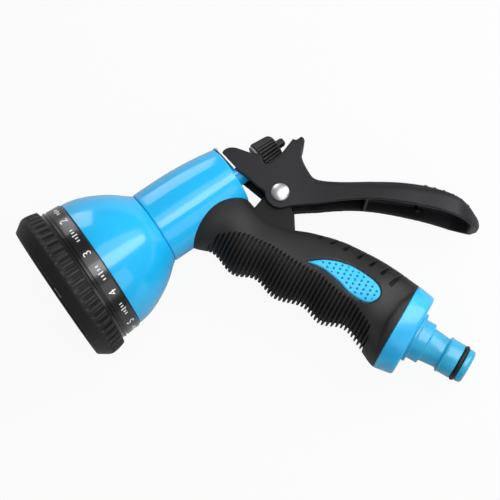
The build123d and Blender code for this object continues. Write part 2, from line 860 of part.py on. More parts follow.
with BuildPart() as valve_plunger:
    with BuildSketch(across(spray, seal_back)):
        Circle(plunger_r)
        Circle(stem_r, mode=Mode.SUBTRACT)
    extrude(amount=plunger_depth)
    chamfer(valve_plunger.edges().filter_by(GeomType.CIRCLE).group_by(spray_axis)[-1][-1], 0.8)
valve_plunger.part.label = "valve_plunger"
export_step(valve_plunger.part, "parts/valve_plunger.step")

with BuildPart() as valve_stem:
    with BuildSketch(spray):
        outline(
            (plunger_front - stem_head, 0),
            (plunger_front - stem_head, stem_head_r),
            (plunger_front, stem_head_r),
            (plunger_front, stem_r),
            (stem_end - 1, stem_r),
            (stem_end, stem_r - 0.7),
            (stem_end, 0),
        )
    revolve(axis=spray_axis)
valve_stem.part.label = "valve_stem"
export_step(valve_stem.part, "parts/valve_stem.step")

with BuildPart() as valve_spring:
    coil_spring(
        across(spray, plunger_back + running_gap),
        gland_front - plunger_back - 2 * running_gap,
        valve_spring_r,
        valve_spring_wire,
        valve_spring_turns,
    )
valve_spring.part.label = "valve_spring"
export_step(valve_spring.part, "parts/valve_spring.step")

gland_bore_r = stem_r + running_gap
gland_groove = gland_front + 2.5
gland_groove_width = gland_ring_wire + 2 * running_gap
gland_groove_r = gland_bore_r + gland_ring_wire + running_gap
with BuildPart() as gland_nut:
    with BuildSketch(spray):
        outline(
            (gland_front, gland_bore_r),
            (gland_front, gland_thread_r),
            (barrel_end, gland_thread_r),
            (barrel_end, gland_r),
            (gland_end - 0.8, gland_r),
            (gland_end, gland_r - 0.8),
            (gland_end, gland_bore_r),
            (gland_groove + gland_groove_width, gland_bore_r),
            (gland_groove + gland_groove_width, gland_groove_r),
            (gland_groove, gland_groove_r),
            (gland_groove, gland_bore_r),
        )
    revolve(axis=spray_axis)
gland_nut.part.label = "gland_nut"
export_step(gland_nut.part, "parts/gland_nut.step")

with BuildPart() as stem_ring:
    with BuildSketch(spray):
        with Locations((gland_groove + gland_groove_width / 2, gland_bore_r + gland_ring_wire / 2)):
            Circle(gland_ring_wire / 2)
    revolve(axis=spray_axis)
stem_ring.part.label = "stem_o_ring"
export_step(stem_ring.part, "parts/stem_o_ring.step")

# ---------------------------------------------------------------- knob
with BuildPart() as knob_washer:
    with BuildSketch(across(spray, washer_front)):
        Circle(knob_washer_r)
        Circle(stem_r, mode=Mode.SUBTRACT)
    extrude(amount=knob_washer_depth)
knob_washer.part.label = "knob_washer"
export_step(knob_washer.part, "parts/knob_washer.step")

with BuildPart() as adjusting_knob:
    with BuildSketch(spray):
        outline(
            (knob_front + seat_gap, stem_r + running_gap),
            (knob_front + seat_gap, knob_r),
            (knob_end - 1.2, knob_rear_r),
            (knob_end, knob_rear_r - 1.6),
            (knob_end, stem_r + running_gap),
        )
    revolve(axis=spray_axis)
    with BuildSketch(across(spray, knob_front)):
        with PolarLocations((knob_r + knob_rear_r) / 2 + knob_flute_r / 2, knob_flutes):
            Circle(knob_flute_r)
    extrude(amount=knob_length, mode=Mode.SUBTRACT)
adjusting_knob.part.label = "adjusting_knob"
export_step(adjusting_knob.part, "parts/adjusting_knob.step")

# ---------------------------------------------------------------- lever
# The nose plate leans back from the barrel's end; the lever's front edges meet its rear face.
plate = Plane(
    spray.location
    * Location((barrel_end + face_gap, plate_touch_r, 0), (0, 0, nose_plate_tilt))
    * Location((0, 0, 0), (0, 90, 0))
)


def nose_edge(radius):
    """Point on the nose plate's rear face at a radius, in the pivot's plane."""
    back = plate.offset(nose_plate_depth).origin
    lean = spray.x_dir.rotate(Axis(spray.origin, spray.z_dir), nose_plate_tilt)
    start = spray.to_local_coords(back)
    slope = spray.to_local_coords(back + lean.cross(spray.z_dir)) - start
    return on_pivot(start.X + slope.X * (radius - start.Y) / slope.Y, radius)


def lever_plan(inset):
    """Lever seen from above, half of it mirrored, set in from its sides and tail."""
    front = lever_width / 2 - inset
    with BuildLine() as rim:
        Line((-lever_length, 0), (-lever_length, front))
        Line((-lever_length, front), (lever_boss_r, front))
        Spline(
            (lever_boss_r, front),
            (0.43 * lever_length, lever_mid_width / 2 - inset),
            (0.72 * lever_length, lever_tail_width / 2 - inset),
            (0.93 * lever_length, 0.41 * lever_tail_width - inset),
            (lever_length - inset, 0),
            tangents=((1, 0), (0, -1)),
        )
        Line((lever_length - inset, 0), (-lever_length, 0))
    make_face(rim.edges())
    mirror(about=Plane.XZ)


with BuildPart() as lever_block:
    with BuildSketch(pivot):
        with BuildLine():
            nose_top = nose_edge(lever_nose_height)
            nose_curve = [on_pivot(pivot_station + along, radius) for along, radius in nose_back]
            cradle = [on_pivot(pivot_station + along, radius) for along, radius in knob_cradle]
            Polyline((-lever_boss_r, 0), nose_edge(0), nose_top)
            Spline(nose_top, *nose_curve)
            Polyline(nose_curve[-1], *cradle, *horn)
            Spline(horn[-1], *horn_root, lever_back[0], tangents=((-0.3, -1), (1, -0.1)))
            ridge = Spline(*lever_back, lever_tail[0], tangents=((1, -0.1), (0.2, -1)))
            Polyline(*lever_tail)
            Spline(lever_tail[-1], *lever_underside, (lever_heel, -lever_boss_r))
            ThreePointArc(
                (lever_heel, -lever_boss_r),
                (-0.75 * lever_boss_r, -0.72 * lever_boss_r),
                (-lever_boss_r, 0),
            )
        make_face()
        for step in range(thumb_rib_count):
            with Locations(ridge @ (thumb_rib_start + step * thumb_rib_pitch)):
                Circle(thumb_rib_r)
    extrude(amount=lever_tail_width, both=True)
    with BuildSketch(seen_from_above(pivot)):
        lever_plan(0)
    extrude(amount=lever_length, both=True, mode=Mode.INTERSECT)

with BuildPart() as lever_hollow:
    with BuildSketch(pivot):
        outline(
            *[on_pivot(pivot_station + along, radius) for along, radius in nose_hollow],
            *horn_hollow,
            *[(along, over - lever_wall) for along, over in lever_back[:-1]],
            (lever_back[-1][0] - lever_wall, lever_back[-1][1] - lever_wall / 2),
            (lever_tail[-1][0], -2 * pivot_drop),
            (-2 * pivot_drop, -2 * pivot_drop),
            (-2 * pivot_drop, lever_boss_r),
        )
    extrude(amount=lever_tail_width, both=True)
    with BuildSketch(seen_from_above(pivot)):
        lever_plan(cheek_wall)
    extrude(amount=lever_length, both=True, mode=Mode.INTERSECT)
    with BuildSketch(pivot):                                              # two stiffening ribs
        for station in stiffener_stations:
            with Locations((station, 0)):
                Rectangle(stiffener, 2 * lever_wall)
    extrude(amount=lever_tail_width, both=True, mode=Mode.SUBTRACT)

slot_half = stem_r + slot_gap
crown_station = bearing_station - bearing_r
with BuildPart() as squeeze_lever:
    add(lever_block.part)
    add(lever_hollow.part, mode=Mode.SUBTRACT)
    with BuildSketch(spray):                                              # crowned bearing wall
        with Locations((crown_station, bearing_centre)):
            Circle(bearing_r)
        with Locations((bearing_station - bearing_wall, bearing_centre)):
            Rectangle(2 * bearing_wall, bearing_height, align=(Align.MIN, Align.CENTER),
                      mode=Mode.INTERSECT)
    extrude(amount=lever_inner, both=True)
    with BuildSketch(spray):                                              # stem slot
        with Locations((bearing_station - 2 * bearing_wall, -slot_half)):
            Rectangle(3 * bearing_wall, lever_width, align=Align.MIN)
    extrude(amount=slot_half, both=True, mode=Mode.SUBTRACT)
    with BuildSketch(across(spray, washer_front)):                        # room for the knob
        Circle(knob_r + slot_gap)
    extrude(amount=2 * knob_length, mode=Mode.SUBTRACT)
    with BuildSketch(pivot):
        Circle(rivet_r + running_gap)
    extrude(amount=lever_width, both=True, mode=Mode.SUBTRACT)
squeeze_lever.part.label = "squeeze_lever"
export_step(squeeze_lever.part, "parts/squeeze_lever.step")

with BuildPart() as nose_plate:
    with BuildSketch(plate):
        with Locations((0, -plate_touch_r)):
            Circle(nose_plate_top_r)
            Rectangle(lever_width, 2 * nose_plate_top_r, align=(Align.CENTER, Align.MIN),
                      mode=Mode.INTERSECT)
            Circle(gland_r + 0.5, mode=Mode.SUBTRACT)
    extrude(amount=nose_plate_depth)
nose_plate.part.label = "nose_plate"
export_step(nose_plate.part, "parts/nose_plate.step")

head_seat = lever_width / 2 + seat_gap
with BuildPart() as lever_rivet:
    with BuildSketch(seen_from_above(pivot)):
        with BuildLine():
            Polyline((rivet_head_r, head_seat), (rivet_r, head_seat),
                     (rivet_r, -head_seat - rivet_head / 2), (0, -head_seat - rivet_head / 2),
                     (0, head_seat + rivet_head))
            ThreePointArc(
                (0, head_seat + rivet_head),
                (0.74 * rivet_head_r, head_seat + 0.72 * rivet_head),
                (rivet_head_r, head_seat),
            )
        make_face()
    revolve(axis=pivot_axis)
lever_rivet.part.label = "lever_rivet"
export_step(lever_rivet.part, "parts/lever_rivet.step")

with BuildPart() as rivet_cap:
    with BuildSketch(seen_from_above(pivot)):
        with BuildLine():
            Polyline((rivet_head_r, -head_seat), (rivet_r, -head_seat),
                     (rivet_r, -head_seat - rivet_head / 2), (0, -head_seat - rivet_head / 2),
                     (0, -head_seat - rivet_head))
            ThreePointArc(
                (0, -head_seat - rivet_head),
                (0.74 * rivet_head_r, -head_seat - 0.72 * rivet_head),
                (rivet_head_r, -head_seat),
            )
        make_face()
    revolve(axis=pivot_axis)
rivet_cap.part.label = "rivet_cap"
export_step(rivet_cap.part, "parts/rivet_cap.step")
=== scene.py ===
import math

import bmesh
import bpy
import numpy as np
from mathutils import Matrix, Vector


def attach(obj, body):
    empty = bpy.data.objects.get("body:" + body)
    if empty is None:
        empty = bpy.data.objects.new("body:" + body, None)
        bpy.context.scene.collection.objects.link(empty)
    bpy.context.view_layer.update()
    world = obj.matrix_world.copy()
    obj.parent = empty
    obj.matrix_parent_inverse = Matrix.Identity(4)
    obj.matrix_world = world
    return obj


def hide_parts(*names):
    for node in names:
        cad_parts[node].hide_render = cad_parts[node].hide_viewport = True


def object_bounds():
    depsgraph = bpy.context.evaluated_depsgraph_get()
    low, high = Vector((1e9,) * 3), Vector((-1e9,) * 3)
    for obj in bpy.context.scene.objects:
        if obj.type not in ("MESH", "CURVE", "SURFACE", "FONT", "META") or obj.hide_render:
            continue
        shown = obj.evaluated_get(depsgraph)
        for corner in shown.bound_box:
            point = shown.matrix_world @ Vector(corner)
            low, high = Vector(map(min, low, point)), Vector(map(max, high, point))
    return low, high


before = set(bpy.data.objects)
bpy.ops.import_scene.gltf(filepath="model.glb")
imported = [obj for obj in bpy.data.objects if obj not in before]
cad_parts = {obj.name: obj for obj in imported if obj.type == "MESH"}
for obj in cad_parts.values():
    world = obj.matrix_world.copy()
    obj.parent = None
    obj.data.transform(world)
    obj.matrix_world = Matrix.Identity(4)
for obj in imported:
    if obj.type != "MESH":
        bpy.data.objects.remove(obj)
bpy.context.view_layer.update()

# ------------------------------------------------------------------ where things are
# Working lengths are millimetres and are turned into metres when a mesh is made.
# Each frame is (origin, axes): the columns of axes are its X, Y and Z in the row frame.
# A station is a distance along a frame's X: on the spray axis from the front of the dial, on the handle's
# axis from the collar, on the rivet's from the nozzle's middle plane.
MM = 0.001
LEAN_ABOUT_X = -4.707         # degrees that the nozzle's plane leans as it lies on its side
LEAN_ABOUT_Y = 6.550
SPRAY_ANGLE = 35.0            # degrees of the two axes in the nozzle's plane
HANDLE_ANGLE = -30.4
NOSE_MIDDLE = 35.65           # station of the middle of the nipple's nose, where the row frame starts
HANDLE_RUN = 111.3            # along the handle, from the collar to where the two axes meet
AXES_MEET = 18.4              # along the spray axis, from the bell's rear to where the axes meet
BELL_REAR = 54.0
BARREL_END = 97.5
PIVOT_STATION = 110.3
PIVOT_DROP = 21.2             # from the spray axis down to the lever's pivot


def turn(axis, degrees):
    """Rotation by an angle about one axis, as a 3 by 3 array."""
    return np.array(Matrix.Rotation(math.radians(degrees), 3, axis))


def moved(place, x, y=0.0):
    """The same axes, with the origin moved along the frame's own X and Y."""
    return place[0] + x * place[1][:, 0] + y * place[1][:, 1], place[1]


LEAN = turn("X", LEAN_ABOUT_X) @ turn("Y", LEAN_ABOUT_Y)
HANDLE = moved((np.zeros(3), LEAN @ turn("Z", HANDLE_ANGLE)), -NOSE_MIDDLE)
MEETING = moved(HANDLE, -HANDLE_RUN)
SPRAY = moved((MEETING[0], LEAN @ turn("Z", SPRAY_ANGLE)), -BELL_REAR - AXES_MEET)
PIVOT = (moved(SPRAY, PIVOT_STATION, -PIVOT_DROP)[0], LEAN)
RIVET = (PIVOT[0], PIVOT[1] @ turn("Y", -90))


def placed(place, points):
    """Points of a frame, in millimetres, as points of the row frame in millimetres."""
    return place[0] + np.asarray(points) @ place[1].T


# ------------------------------------------------------------------ finishes
def new_material(name, colour, roughness, metallic=0.0, coat=0.0, specular=0.5):
    """Material with its constant values on its own shader, returned with its nodes, links and shader."""
    material = bpy.data.materials.new(name)
    material.use_nodes = True
    nodes = material.node_tree.nodes
    shader = nodes["Principled BSDF"]
    shader.inputs["Base Color"].default_value = (*colour, 1.0)
    shader.inputs["Roughness"].default_value = roughness
    shader.inputs["Metallic"].default_value = metallic
    shader.inputs["Coat Weight"].default_value = coat
    shader.inputs["Coat Roughness"].default_value = 0.06
    shader.inputs["Specular IOR Level"].default_value = specular
    return material, nodes, material.node_tree.links, shader


def grain(nodes, links, scale, detail=3.0, stretch=(1, 1, 1)):
    """Noise on the piece's own coordinates, its grain drawn out along an axis."""
    where = nodes.new("ShaderNodeTexCoord")
    mapping = nodes.new("ShaderNodeMapping")
    mapping.inputs["Scale"].default_value = stretch
    noise = nodes.new("ShaderNodeTexNoise")
    noise.inputs["Scale"].default_value = scale
    noise.inputs["Detail"].default_value = detail
    links.new(where.outputs["Object"], mapping.inputs["Vector"])
    links.new(mapping.outputs["Vector"], noise.inputs["Vector"])
    return noise.outputs["Fac"]


def spread(nodes, links, value, low, high):
    """A value near one half, spread to run from low to high."""
    step = nodes.new("ShaderNodeMapRange")
    step.inputs["From Min"].default_value = 0.3
    step.inputs["From Max"].default_value = 0.7
    step.inputs["To Min"].default_value = low
    step.inputs["To Max"].default_value = high
    links.new(value, step.inputs["Value"])
    return step.outputs["Result"]


def relief(nodes, links, shader, heights):
    """Bump from (height, strength, distance) layers, one over the other."""
    normal = None
    for height, strength, distance in heights:
        bump = nodes.new("ShaderNodeBump")
        bump.inputs["Strength"].default_value = strength
        bump.inputs["Distance"].default_value = distance
        links.new(height, bump.inputs["Height"])
        if normal:
            links.new(normal, bump.inputs["Normal"])
        normal = bump.outputs["Normal"]
    links.new(normal, shader.inputs["Normal"])


def tinted(nodes, links, shader, factor, first, second):
    """Base colour that runs from the first shade to the second with a pattern."""
    mix = nodes.new("ShaderNodeMix")
    mix.data_type = "RGBA"
    mix.inputs["A"].default_value = (*first, 1.0)
    mix.inputs["B"].default_value = (*second, 1.0)
    links.new(factor, mix.inputs["Factor"])
    links.new(mix.outputs["Result"], shader.inputs["Base Color"])


def lacquer(name, colour):
    """Gloss paint: a smooth clear coat with a faint ripple over a fine-grained colour."""
    material, nodes, links, shader = new_material(name, colour, 0.34, coat=1.0, specular=0.12)
    shader.inputs["Coat Roughness"].default_value = 0.13
    fine = grain(nodes, links, 2200, 2.0)
    ripple = grain(nodes, links, 160, 2.0)
    cloud = grain(nodes, links, 22, 4.0)
    dark = tuple(0.94 * c for c in colour)
    light = tuple(min(1.0, 1.05 * c) for c in colour)
    tinted(nodes, links, shader, spread(nodes, links, cloud, 0.0, 1.0), dark, light)
    links.new(spread(nodes, links, fine, 0.28, 0.4), shader.inputs["Roughness"])
    relief(nodes, links, shader, [(ripple, 0.06, 0.0004), (fine, 0.04, 0.00003)])
    return material


def moulded(name, colour, roughness, texture=0.25, scale=1500, coat=0.0, specular=0.5):
    """Moulded plastic: a fine even texture, soft clouding and rubbed, shinier patches."""
    material, nodes, links, shader = new_material(name, colour, roughness, coat=coat, specular=specular)
    fine = grain(nodes, links, scale, 2.0)
    cloud = grain(nodes, links, 45, 5.0)
    light = tuple(min(1.0, 1.5 * c + 0.002) for c in colour)
    tinted(nodes, links, shader, spread(nodes, links, cloud, 0.0, 1.0), colour, light)
    links.new(spread(nodes, links, cloud, roughness - 0.06, roughness + 0.08), shader.inputs["Roughness"])
    relief(nodes, links, shader, [(fine, texture, 0.00006), (cloud, 0.05, 0.0003)])
    return material


def pitted(name, colour, deep, roughness, specular=0.5, texture=0.15, scale=1500):
    """Moulded plastic painted towards the colour deep where the piece's shade attribute is high: painted
    shade in pits, grooves and hollows.
    """
    material, nodes, links, shader = new_material(name, colour, roughness, specular=specular)
    fine = grain(nodes, links, scale, 2.0)
    # painted shade: the base colour darkens towards deep as the attribute rises
    mark = nodes.new("ShaderNodeAttribute")
    mark.attribute_name = "painted_shade"
    tinted(nodes, links, shader, mark.outputs["Fac"], colour, deep)
    links.new(spread(nodes, links, fine, roughness - 0.05, roughness + 0.06), shader.inputs["Roughness"])
    relief(nodes, links, shader, [(fine, texture, 0.00006)])
    return material


def steel(name, colour, roughness):
    """Plated steel: fine random scratches and a slightly uneven sheen."""
    material, nodes, links, shader = new_material(name, colour, roughness, metallic=1.0)
    scratch = grain(nodes, links, 900, 3.0, (1, 8, 1))
    cloud = grain(nodes, links, 120, 3.0)
    dark = tuple(0.85 * c for c in colour)
    links.new(spread(nodes, links, cloud, roughness - 0.08, roughness + 0.1), shader.inputs["Roughness"])
    tinted(nodes, links, shader, spread(nodes, links, scratch, 0.0, 1.0), dark, colour)
    relief(nodes, links, shader, [(scratch, 0.12, 0.00003)])
    return material


blue_paint = lacquer("blue_paint", (0.012, 0.48, 0.90))
collar_plastic = moulded("collar_plastic", (0.014, 0.38, 0.76), 0.36, 0.06, 900, coat=0.26)
nipple_plastic = moulded("nipple_plastic", (0.018, 0.32, 0.53), 0.36, 0.08, 900, coat=0.24)
# Each second colour is painted shade, laid in where the shade attribute marks grooves, dimples and hollows.
inset_plastic = pitted("inset_plastic", (0.040, 0.55, 0.94), (0.005, 0.14, 0.38), 0.4)
grip_rubber = pitted(
    "grip_rubber", (0.0215, 0.0210, 0.0215), (0.0010, 0.0010, 0.0010), 0.5, 0.32, 0.5, 1300
)
lever_plastic = pitted(
    "lever_plastic", (0.0108, 0.0105, 0.0130), (0.0008, 0.0008, 0.0008), 0.48, 0.3, 0.4, 1000
)
dial_plastic = pitted(
    "dial_plastic", (0.0170, 0.0168, 0.0170), (0.0030, 0.0030, 0.0030), 0.5, 0.3, 0.35, 1200
)
gloss_black = moulded("gloss_black", (0.0060, 0.0056, 0.0068), 0.26, 0.05, 900, coat=0.5)
black_plastic = moulded("black_plastic", (0.0080, 0.0080, 0.0088), 0.42, 0.3, 1400, specular=0.35)
bracket_plastic = moulded("bracket_plastic", (0.0036, 0.0036, 0.0038), 0.5, 0.3, 1000, specular=0.22)
grey_plastic = moulded("grey_plastic", (0.16, 0.16, 0.165), 0.45, 0.2)
inner_plastic = moulded("inner_plastic", (0.45, 0.45, 0.43), 0.5, 0.2)
seal_rubber = moulded("seal_rubber", (0.0040, 0.0040, 0.0042), 0.42, 0.1, specular=0.35)
strip_steel = steel("strip_steel", (0.90, 0.89, 0.84), 0.6)
plated_steel = steel("plated_steel", (0.66, 0.66, 0.68), 0.3)
rivet_steel = steel("rivet_steel", (0.86, 0.86, 0.87), 0.4)
print_white = moulded("print_white", (0.80, 0.80, 0.78), 0.5, 0.1)

NODE_FINISH = {
    "spray_face": dial_plastic,
    "selector_dial": gloss_black,
    "port_disc": inner_plastic,
    "port_seal": seal_rubber,
    "detent_ball": plated_steel,
    "detent_spring": plated_steel,
    "face_washer": plated_steel,
    "face_screw": plated_steel,
    "inlet_filter": inner_plastic,
    "nipple_washer": seal_rubber,
    "valve_seat": inner_plastic,
    "plunger_seal": seal_rubber,
    "valve_plunger": inner_plastic,
    "valve_spring": plated_steel,
    "stem_o_ring": seal_rubber,
    "nose_plate": strip_steel,
}
for node, finish in NODE_FINISH.items():
    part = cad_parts[node]
    part.data.materials.clear()
    part.data.materials.append(finish)


# ------------------------------------------------------------------ meshes
def add_piece(name, mesh, body, finish, nodes=(), crease=35.0):
    """A closed mesh as a piece that rides on a body and stands for CAD nodes.

    Edges sharper than crease, in degrees, stay sharp; with 0 the whole piece is smooth.
    """
    shape = bmesh.new()
    shape.from_mesh(mesh)
    bmesh.ops.remove_doubles(shape, verts=shape.verts, dist=1e-7)
    bmesh.ops.dissolve_degenerate(shape, edges=shape.edges, dist=1e-7)
    bmesh.ops.recalc_face_normals(shape, faces=shape.faces)
    shape.to_mesh(mesh)
    shape.free()
    mesh.materials.clear()
    mesh.materials.append(finish)
    mesh.shade_smooth()
    if crease:
        mesh.set_sharp_from_angle(angle=math.radians(crease))
    piece = bpy.data.objects.new(name, mesh)
    bpy.context.scene.collection.objects.link(piece)
    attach(piece, body)
    if nodes:
        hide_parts(*nodes)


def grid_mesh(name, points, close_rows=False, close_columns=True):
    """Quads between neighbours on a grid of points (rows, columns, 3) of the row frame in millimetres.

    A grid whose rows or columns close joins its last to its first.
    """
    rows, columns = points.shape[:2]
    row = np.arange(rows if close_rows else rows - 1)[:, None]
    column = np.arange(columns if close_columns else columns - 1)[None, :]
    beside = (column + 1) % columns
    first = row * columns
    second = (row + 1) % rows * columns
    faces = np.stack([first + column, first + beside, second + beside, second + column], axis=-1)
    mesh = bpy.data.meshes.new(name)
    mesh.from_pydata((points.reshape(-1, 3) * MM).tolist(), [], faces.reshape(-1, 4).tolist())
    return mesh


def read_points(mesh):
    """The mesh's vertices as an array of points, in the mesh's own units."""
    flat = np.empty(len(mesh.vertices) * 3)
    mesh.vertices.foreach_get("co", flat)
    return flat.reshape(-1, 3)


def write_points(mesh, points):
    """Points of the row frame, in millimetres, as the mesh's vertices."""
    mesh.vertices.foreach_set("co", (points * MM).ravel())


def marked(mesh, depth):
    """Painted shade as the mesh's shade attribute, one value for each vertex: 0 for none, 1 at its darkest,
    as at the bottom of a groove.
    """
    shade = mesh.attributes.new("painted_shade", "FLOAT", "POINT")
    shade.data.foreach_set("value", np.clip(depth, 0, 1).astype(float).ravel())


def softened(corners, radius=0.4, steps=5):
    """Closed outline whose corners are parabolic arcs.

    Each arc starts radius away from its corner, or 0.45 of the side where that is less. A corner may carry
    its own radius as a third number.
    """
    size = np.array([c[2] if len(c) > 2 else radius for c in corners])[:, None]
    corner = np.array([c[:2] for c in corners], float)
    before = np.roll(corner, 1, axis=0) - corner
    after = np.roll(corner, -1, axis=0) - corner
    start = corner + before * np.minimum(size / np.linalg.norm(before, axis=1, keepdims=True), 0.45)
    end = corner + after * np.minimum(size / np.linalg.norm(after, axis=1, keepdims=True), 0.45)
    t = np.linspace(0, 1, steps)[None, :, None]
    arcs = (1 - t) ** 2 * start[:, None] + 2 * t * (1 - t) * corner[:, None] + t**2 * end[:, None]
    return arcs.reshape(-1, 2)


def resampled(outline, spacing, closed=True):
    """Points evenly spaced by length along an outline of straight runs."""
    if closed:
        outline = np.vstack([outline, outline[:1]])
    run = np.r_[0, np.cumsum(np.linalg.norm(np.diff(outline, axis=0), axis=1))]
    count = max(8, int(round(run[-1] / spacing)))
    at = np.linspace(0, run[-1], count, endpoint=not closed)
    return np.stack([np.interp(at, run, outline[:, 0]), np.interp(at, run, outline[:, 1])], axis=1)


def curve_through(knots, steps=12):
    """Catmull-Rom curve through knots.

    Each span is a cubic whose end slopes are half the chord of its neighbours.
    """
    knots = np.asarray(knots, float)
    padded = np.vstack([2 * knots[0] - knots[1], knots, 2 * knots[-1] - knots[-2]])
    a, b, c, d = (padded[i : len(padded) - 3 + i, None] for i in range(4))
    t = np.linspace(0, 1, steps, endpoint=False)[None, :, None]
    spans = b + (c - a) * t / 2 + (a - 2.5 * b + 2 * c - d / 2) * t**2
    spans = spans + (1.5 * b - 1.5 * c + d / 2 - a / 2) * t**3
    return np.vstack([spans.reshape(-1, knots.shape[1]), knots[-1:]])


def smooth_step(value, low, high):
    """Cubic ramp from 0 at low to 1 at high."""
    t = np.clip((value - low) / (high - low), 0, 1)
    return t * t * (3 - 2 * t)


def round_angles(count):
    """Angles at even steps all the way round, in radians."""
    return np.linspace(0, 2 * math.pi, count, endpoint=False)


def revolved(place, outline, sides, cut=None):
    """Grid of an outline (station, radius) turned about the frame's X.

    Y is radius times cosine and Z radius times sine. cut, a function of station, radius and angle, is taken
    off the radius.
    """
    angle = round_angles(sides)[None, :]
    station = np.repeat(outline[:, :1], sides, axis=1)
    radius = np.repeat(outline[:, 1:], sides, axis=1)
    if cut:
        radius = np.maximum(radius - cut(station, radius, angle), 0)
    return placed(place, np.stack([station, radius * np.cos(angle), radius * np.sin(angle)], axis=-1))


def turned_piece(name, place, outline, body, finish, nodes=(), sides=160):
    """Piece turned about a frame's X from a closed outline of stations and radii."""
    mesh = grid_mesh(name, revolved(place, outline, sides), close_rows=True)
    add_piece(name, mesh, body, finish, nodes)


# ------------------------------------------------------------------ dial: grip ring
NOTCHES = 50
NOTCH_DEPTH = 0.95
NOTCH_HALF = 1.5              # half width
NOTCH_FRONT = 5.9             # station
NOTCH_FLOOR = 33.9            # nothing nearer the axis is cut
RING_R = 36.5                 # radius where the notches' width is measured
RING_SIDES = NOTCHES * 18


def notch_cut(station, radius, angle):
    """Depth of straight notches with round front ends, and a low ridge along the middle of each.

    The half width grows as a circle from the front end, where the cut runs out.
    """
    phase = angle * NOTCHES / (2 * math.pi)
    off = np.abs(phase - np.round(phase)) * 2 * math.pi * RING_R / NOTCHES
    lead = np.clip((station - NOTCH_FRONT) / NOTCH_HALF, 0, 1)
    half = NOTCH_HALF * np.sqrt(1 - (1 - lead) ** 2)
    wall = (1 - smooth_step(off, half - 0.3, half + 0.15)) * smooth_step(lead, 0.0, 0.25)
    ridge = 0.3 * (1 - smooth_step(off, 0.1, 0.6)) * smooth_step(station, NOTCH_FRONT + 1.5, NOTCH_FRONT + 3)
    run_out = 0.45 + 0.55 * smooth_step(station, NOTCH_FRONT, NOTCH_FRONT + 3.5)
    return NOTCH_DEPTH * wall * (1 - ridge) * run_out * (radius > NOTCH_FLOOR)


ring_outline = resampled(softened([
    (0.7, 30.2), (0, 33.3, 0.5), (5.6, 37.2, 1.6), (9.5, 36.9, 3.0), (13.5, 35.8, 0.8), (13.5, 31.6),
    (1.9, 31.6, 0.3), (1.9, 30.2, 0.3),
]), 0.45)
ring_mesh = grid_mesh("grip_ring", revolved(SPRAY, ring_outline, RING_SIDES, notch_cut), close_rows=True)
# The notches are painted darker by their depth: painted shade in the grooves.
ring_cut = notch_cut(ring_outline[:, :1], ring_outline[:, 1:], round_angles(RING_SIDES)[None, :])
marked(ring_mesh, ring_cut / NOTCH_DEPTH)
add_piece("grip_ring", ring_mesh, "dial", dial_plastic, ["dial_grip_ring"])

# ------------------------------------------------------------------ dial: band and its print
PRINT_FRONT = (16.8, 33.6)    # station and radius at the front and the rear of the band's printed cone
PRINT_REAR = (23.3, 33.1)
PRINT_RISE = 0.07
NUMBERS = 10
FIRST_NUMBER = 18.0           # degrees round the dial
NUMBER_STATION = 20.4
DIGIT_SIZE = 5.4
TICK_HALF = 0.28              # half width
# distance round the band from the number's middle, height
TICKS = [(-7.2, 1.5), (7.2, 1.5), (-8.8, 1.5), (8.8, 1.5), (10.4, 2.6)]

turned_piece("number_band", SPRAY, softened([
    (13.4, 33.1), (13.4, 33.6, 0.2), (14.9, 33.6, 0.2), (15.25, 33.95), (15.65, 33.95), (15.95, 33.55, 0.1),
    (16.15, 33.15, 0.1), (16.6, 33.15, 0.1), PRINT_FRONT, (*PRINT_REAR, 0.4), (23.8, 32.7, 0.3),
    (23.8, 32.4), (20.0, 32.5),
], 0.15), "dial", gloss_black, sides=256)


def number_angle(number):
    """Angle round the dial of a number's middle, in even steps from the first."""
    return math.radians(FIRST_NUMBER + 360 / NUMBERS * (number - 1))


def wrapped(flat, angle):
    """Flat print laid on the band: X runs round it against the angle, Y towards the front, Z outwards.

    X over the radius is the angle that it turns back.
    """
    station = NUMBER_STATION - flat[:, 1]
    radius = np.interp(station, *zip(PRINT_FRONT, PRINT_REAR))
    turned = angle - flat[:, 0] / radius
    radius = radius + flat[:, 2]
    return placed(SPRAY, np.stack([station, radius * np.cos(turned), radius * np.sin(turned)], axis=1))


def number_mesh(number):
    """The number's outline from the plain built-in face, filled, given a thickness and laid on the band."""
    words = bpy.data.curves.new("number", "FONT")
    words.body = str(number)
    words.size = DIGIT_SIZE
    words.align_x = "CENTER"
    words.align_y = "CENTER"
    words.extrude = PRINT_RISE
    sign = bpy.data.objects.new("number", words)
    bpy.context.scene.collection.objects.link(sign)
    bpy.context.view_layer.update()
    mesh = bpy.data.meshes.new_from_object(sign.evaluated_get(bpy.context.evaluated_depsgraph_get()))
    bpy.data.objects.remove(sign)
    write_points(mesh, wrapped(read_points(mesh), number_angle(number)))
    mesh.update()
    return mesh


def tick_mesh():
    """Boxes beside each number, their corners laid on the band as the numbers are."""
    corner = np.array([(x, y, z) for z in (-1, 1) for y in (-1, 1) for x in (-1, 1)])
    corner = corner * [TICK_HALF, 0.5, PRINT_RISE]
    sides = np.array([(0, 2, 3, 1), (4, 5, 7, 6), (0, 1, 5, 4), (2, 6, 7, 3), (0, 4, 6, 2), (1, 3, 7, 5)])
    ticks = [(off, high, number_angle(number)) for number in range(1, NUMBERS + 1) for off, high in TICKS]
    boxes = [wrapped(corner * [1, high, 1] + [off, 0, 0], angle) for off, high, angle in ticks]
    faces = (sides[None] + len(corner) * np.arange(len(ticks))[:, None, None]).reshape(-1, 4)
    mesh = bpy.data.meshes.new("ticks")
    mesh.from_pydata((np.concatenate(boxes) * MM).tolist(), [], faces.tolist())
    return mesh


for number in range(1, NUMBERS + 1):
    add_piece(f"number_{number}", number_mesh(number), "dial", print_white)
add_piece("ticks", tick_mesh(), "dial", print_white)

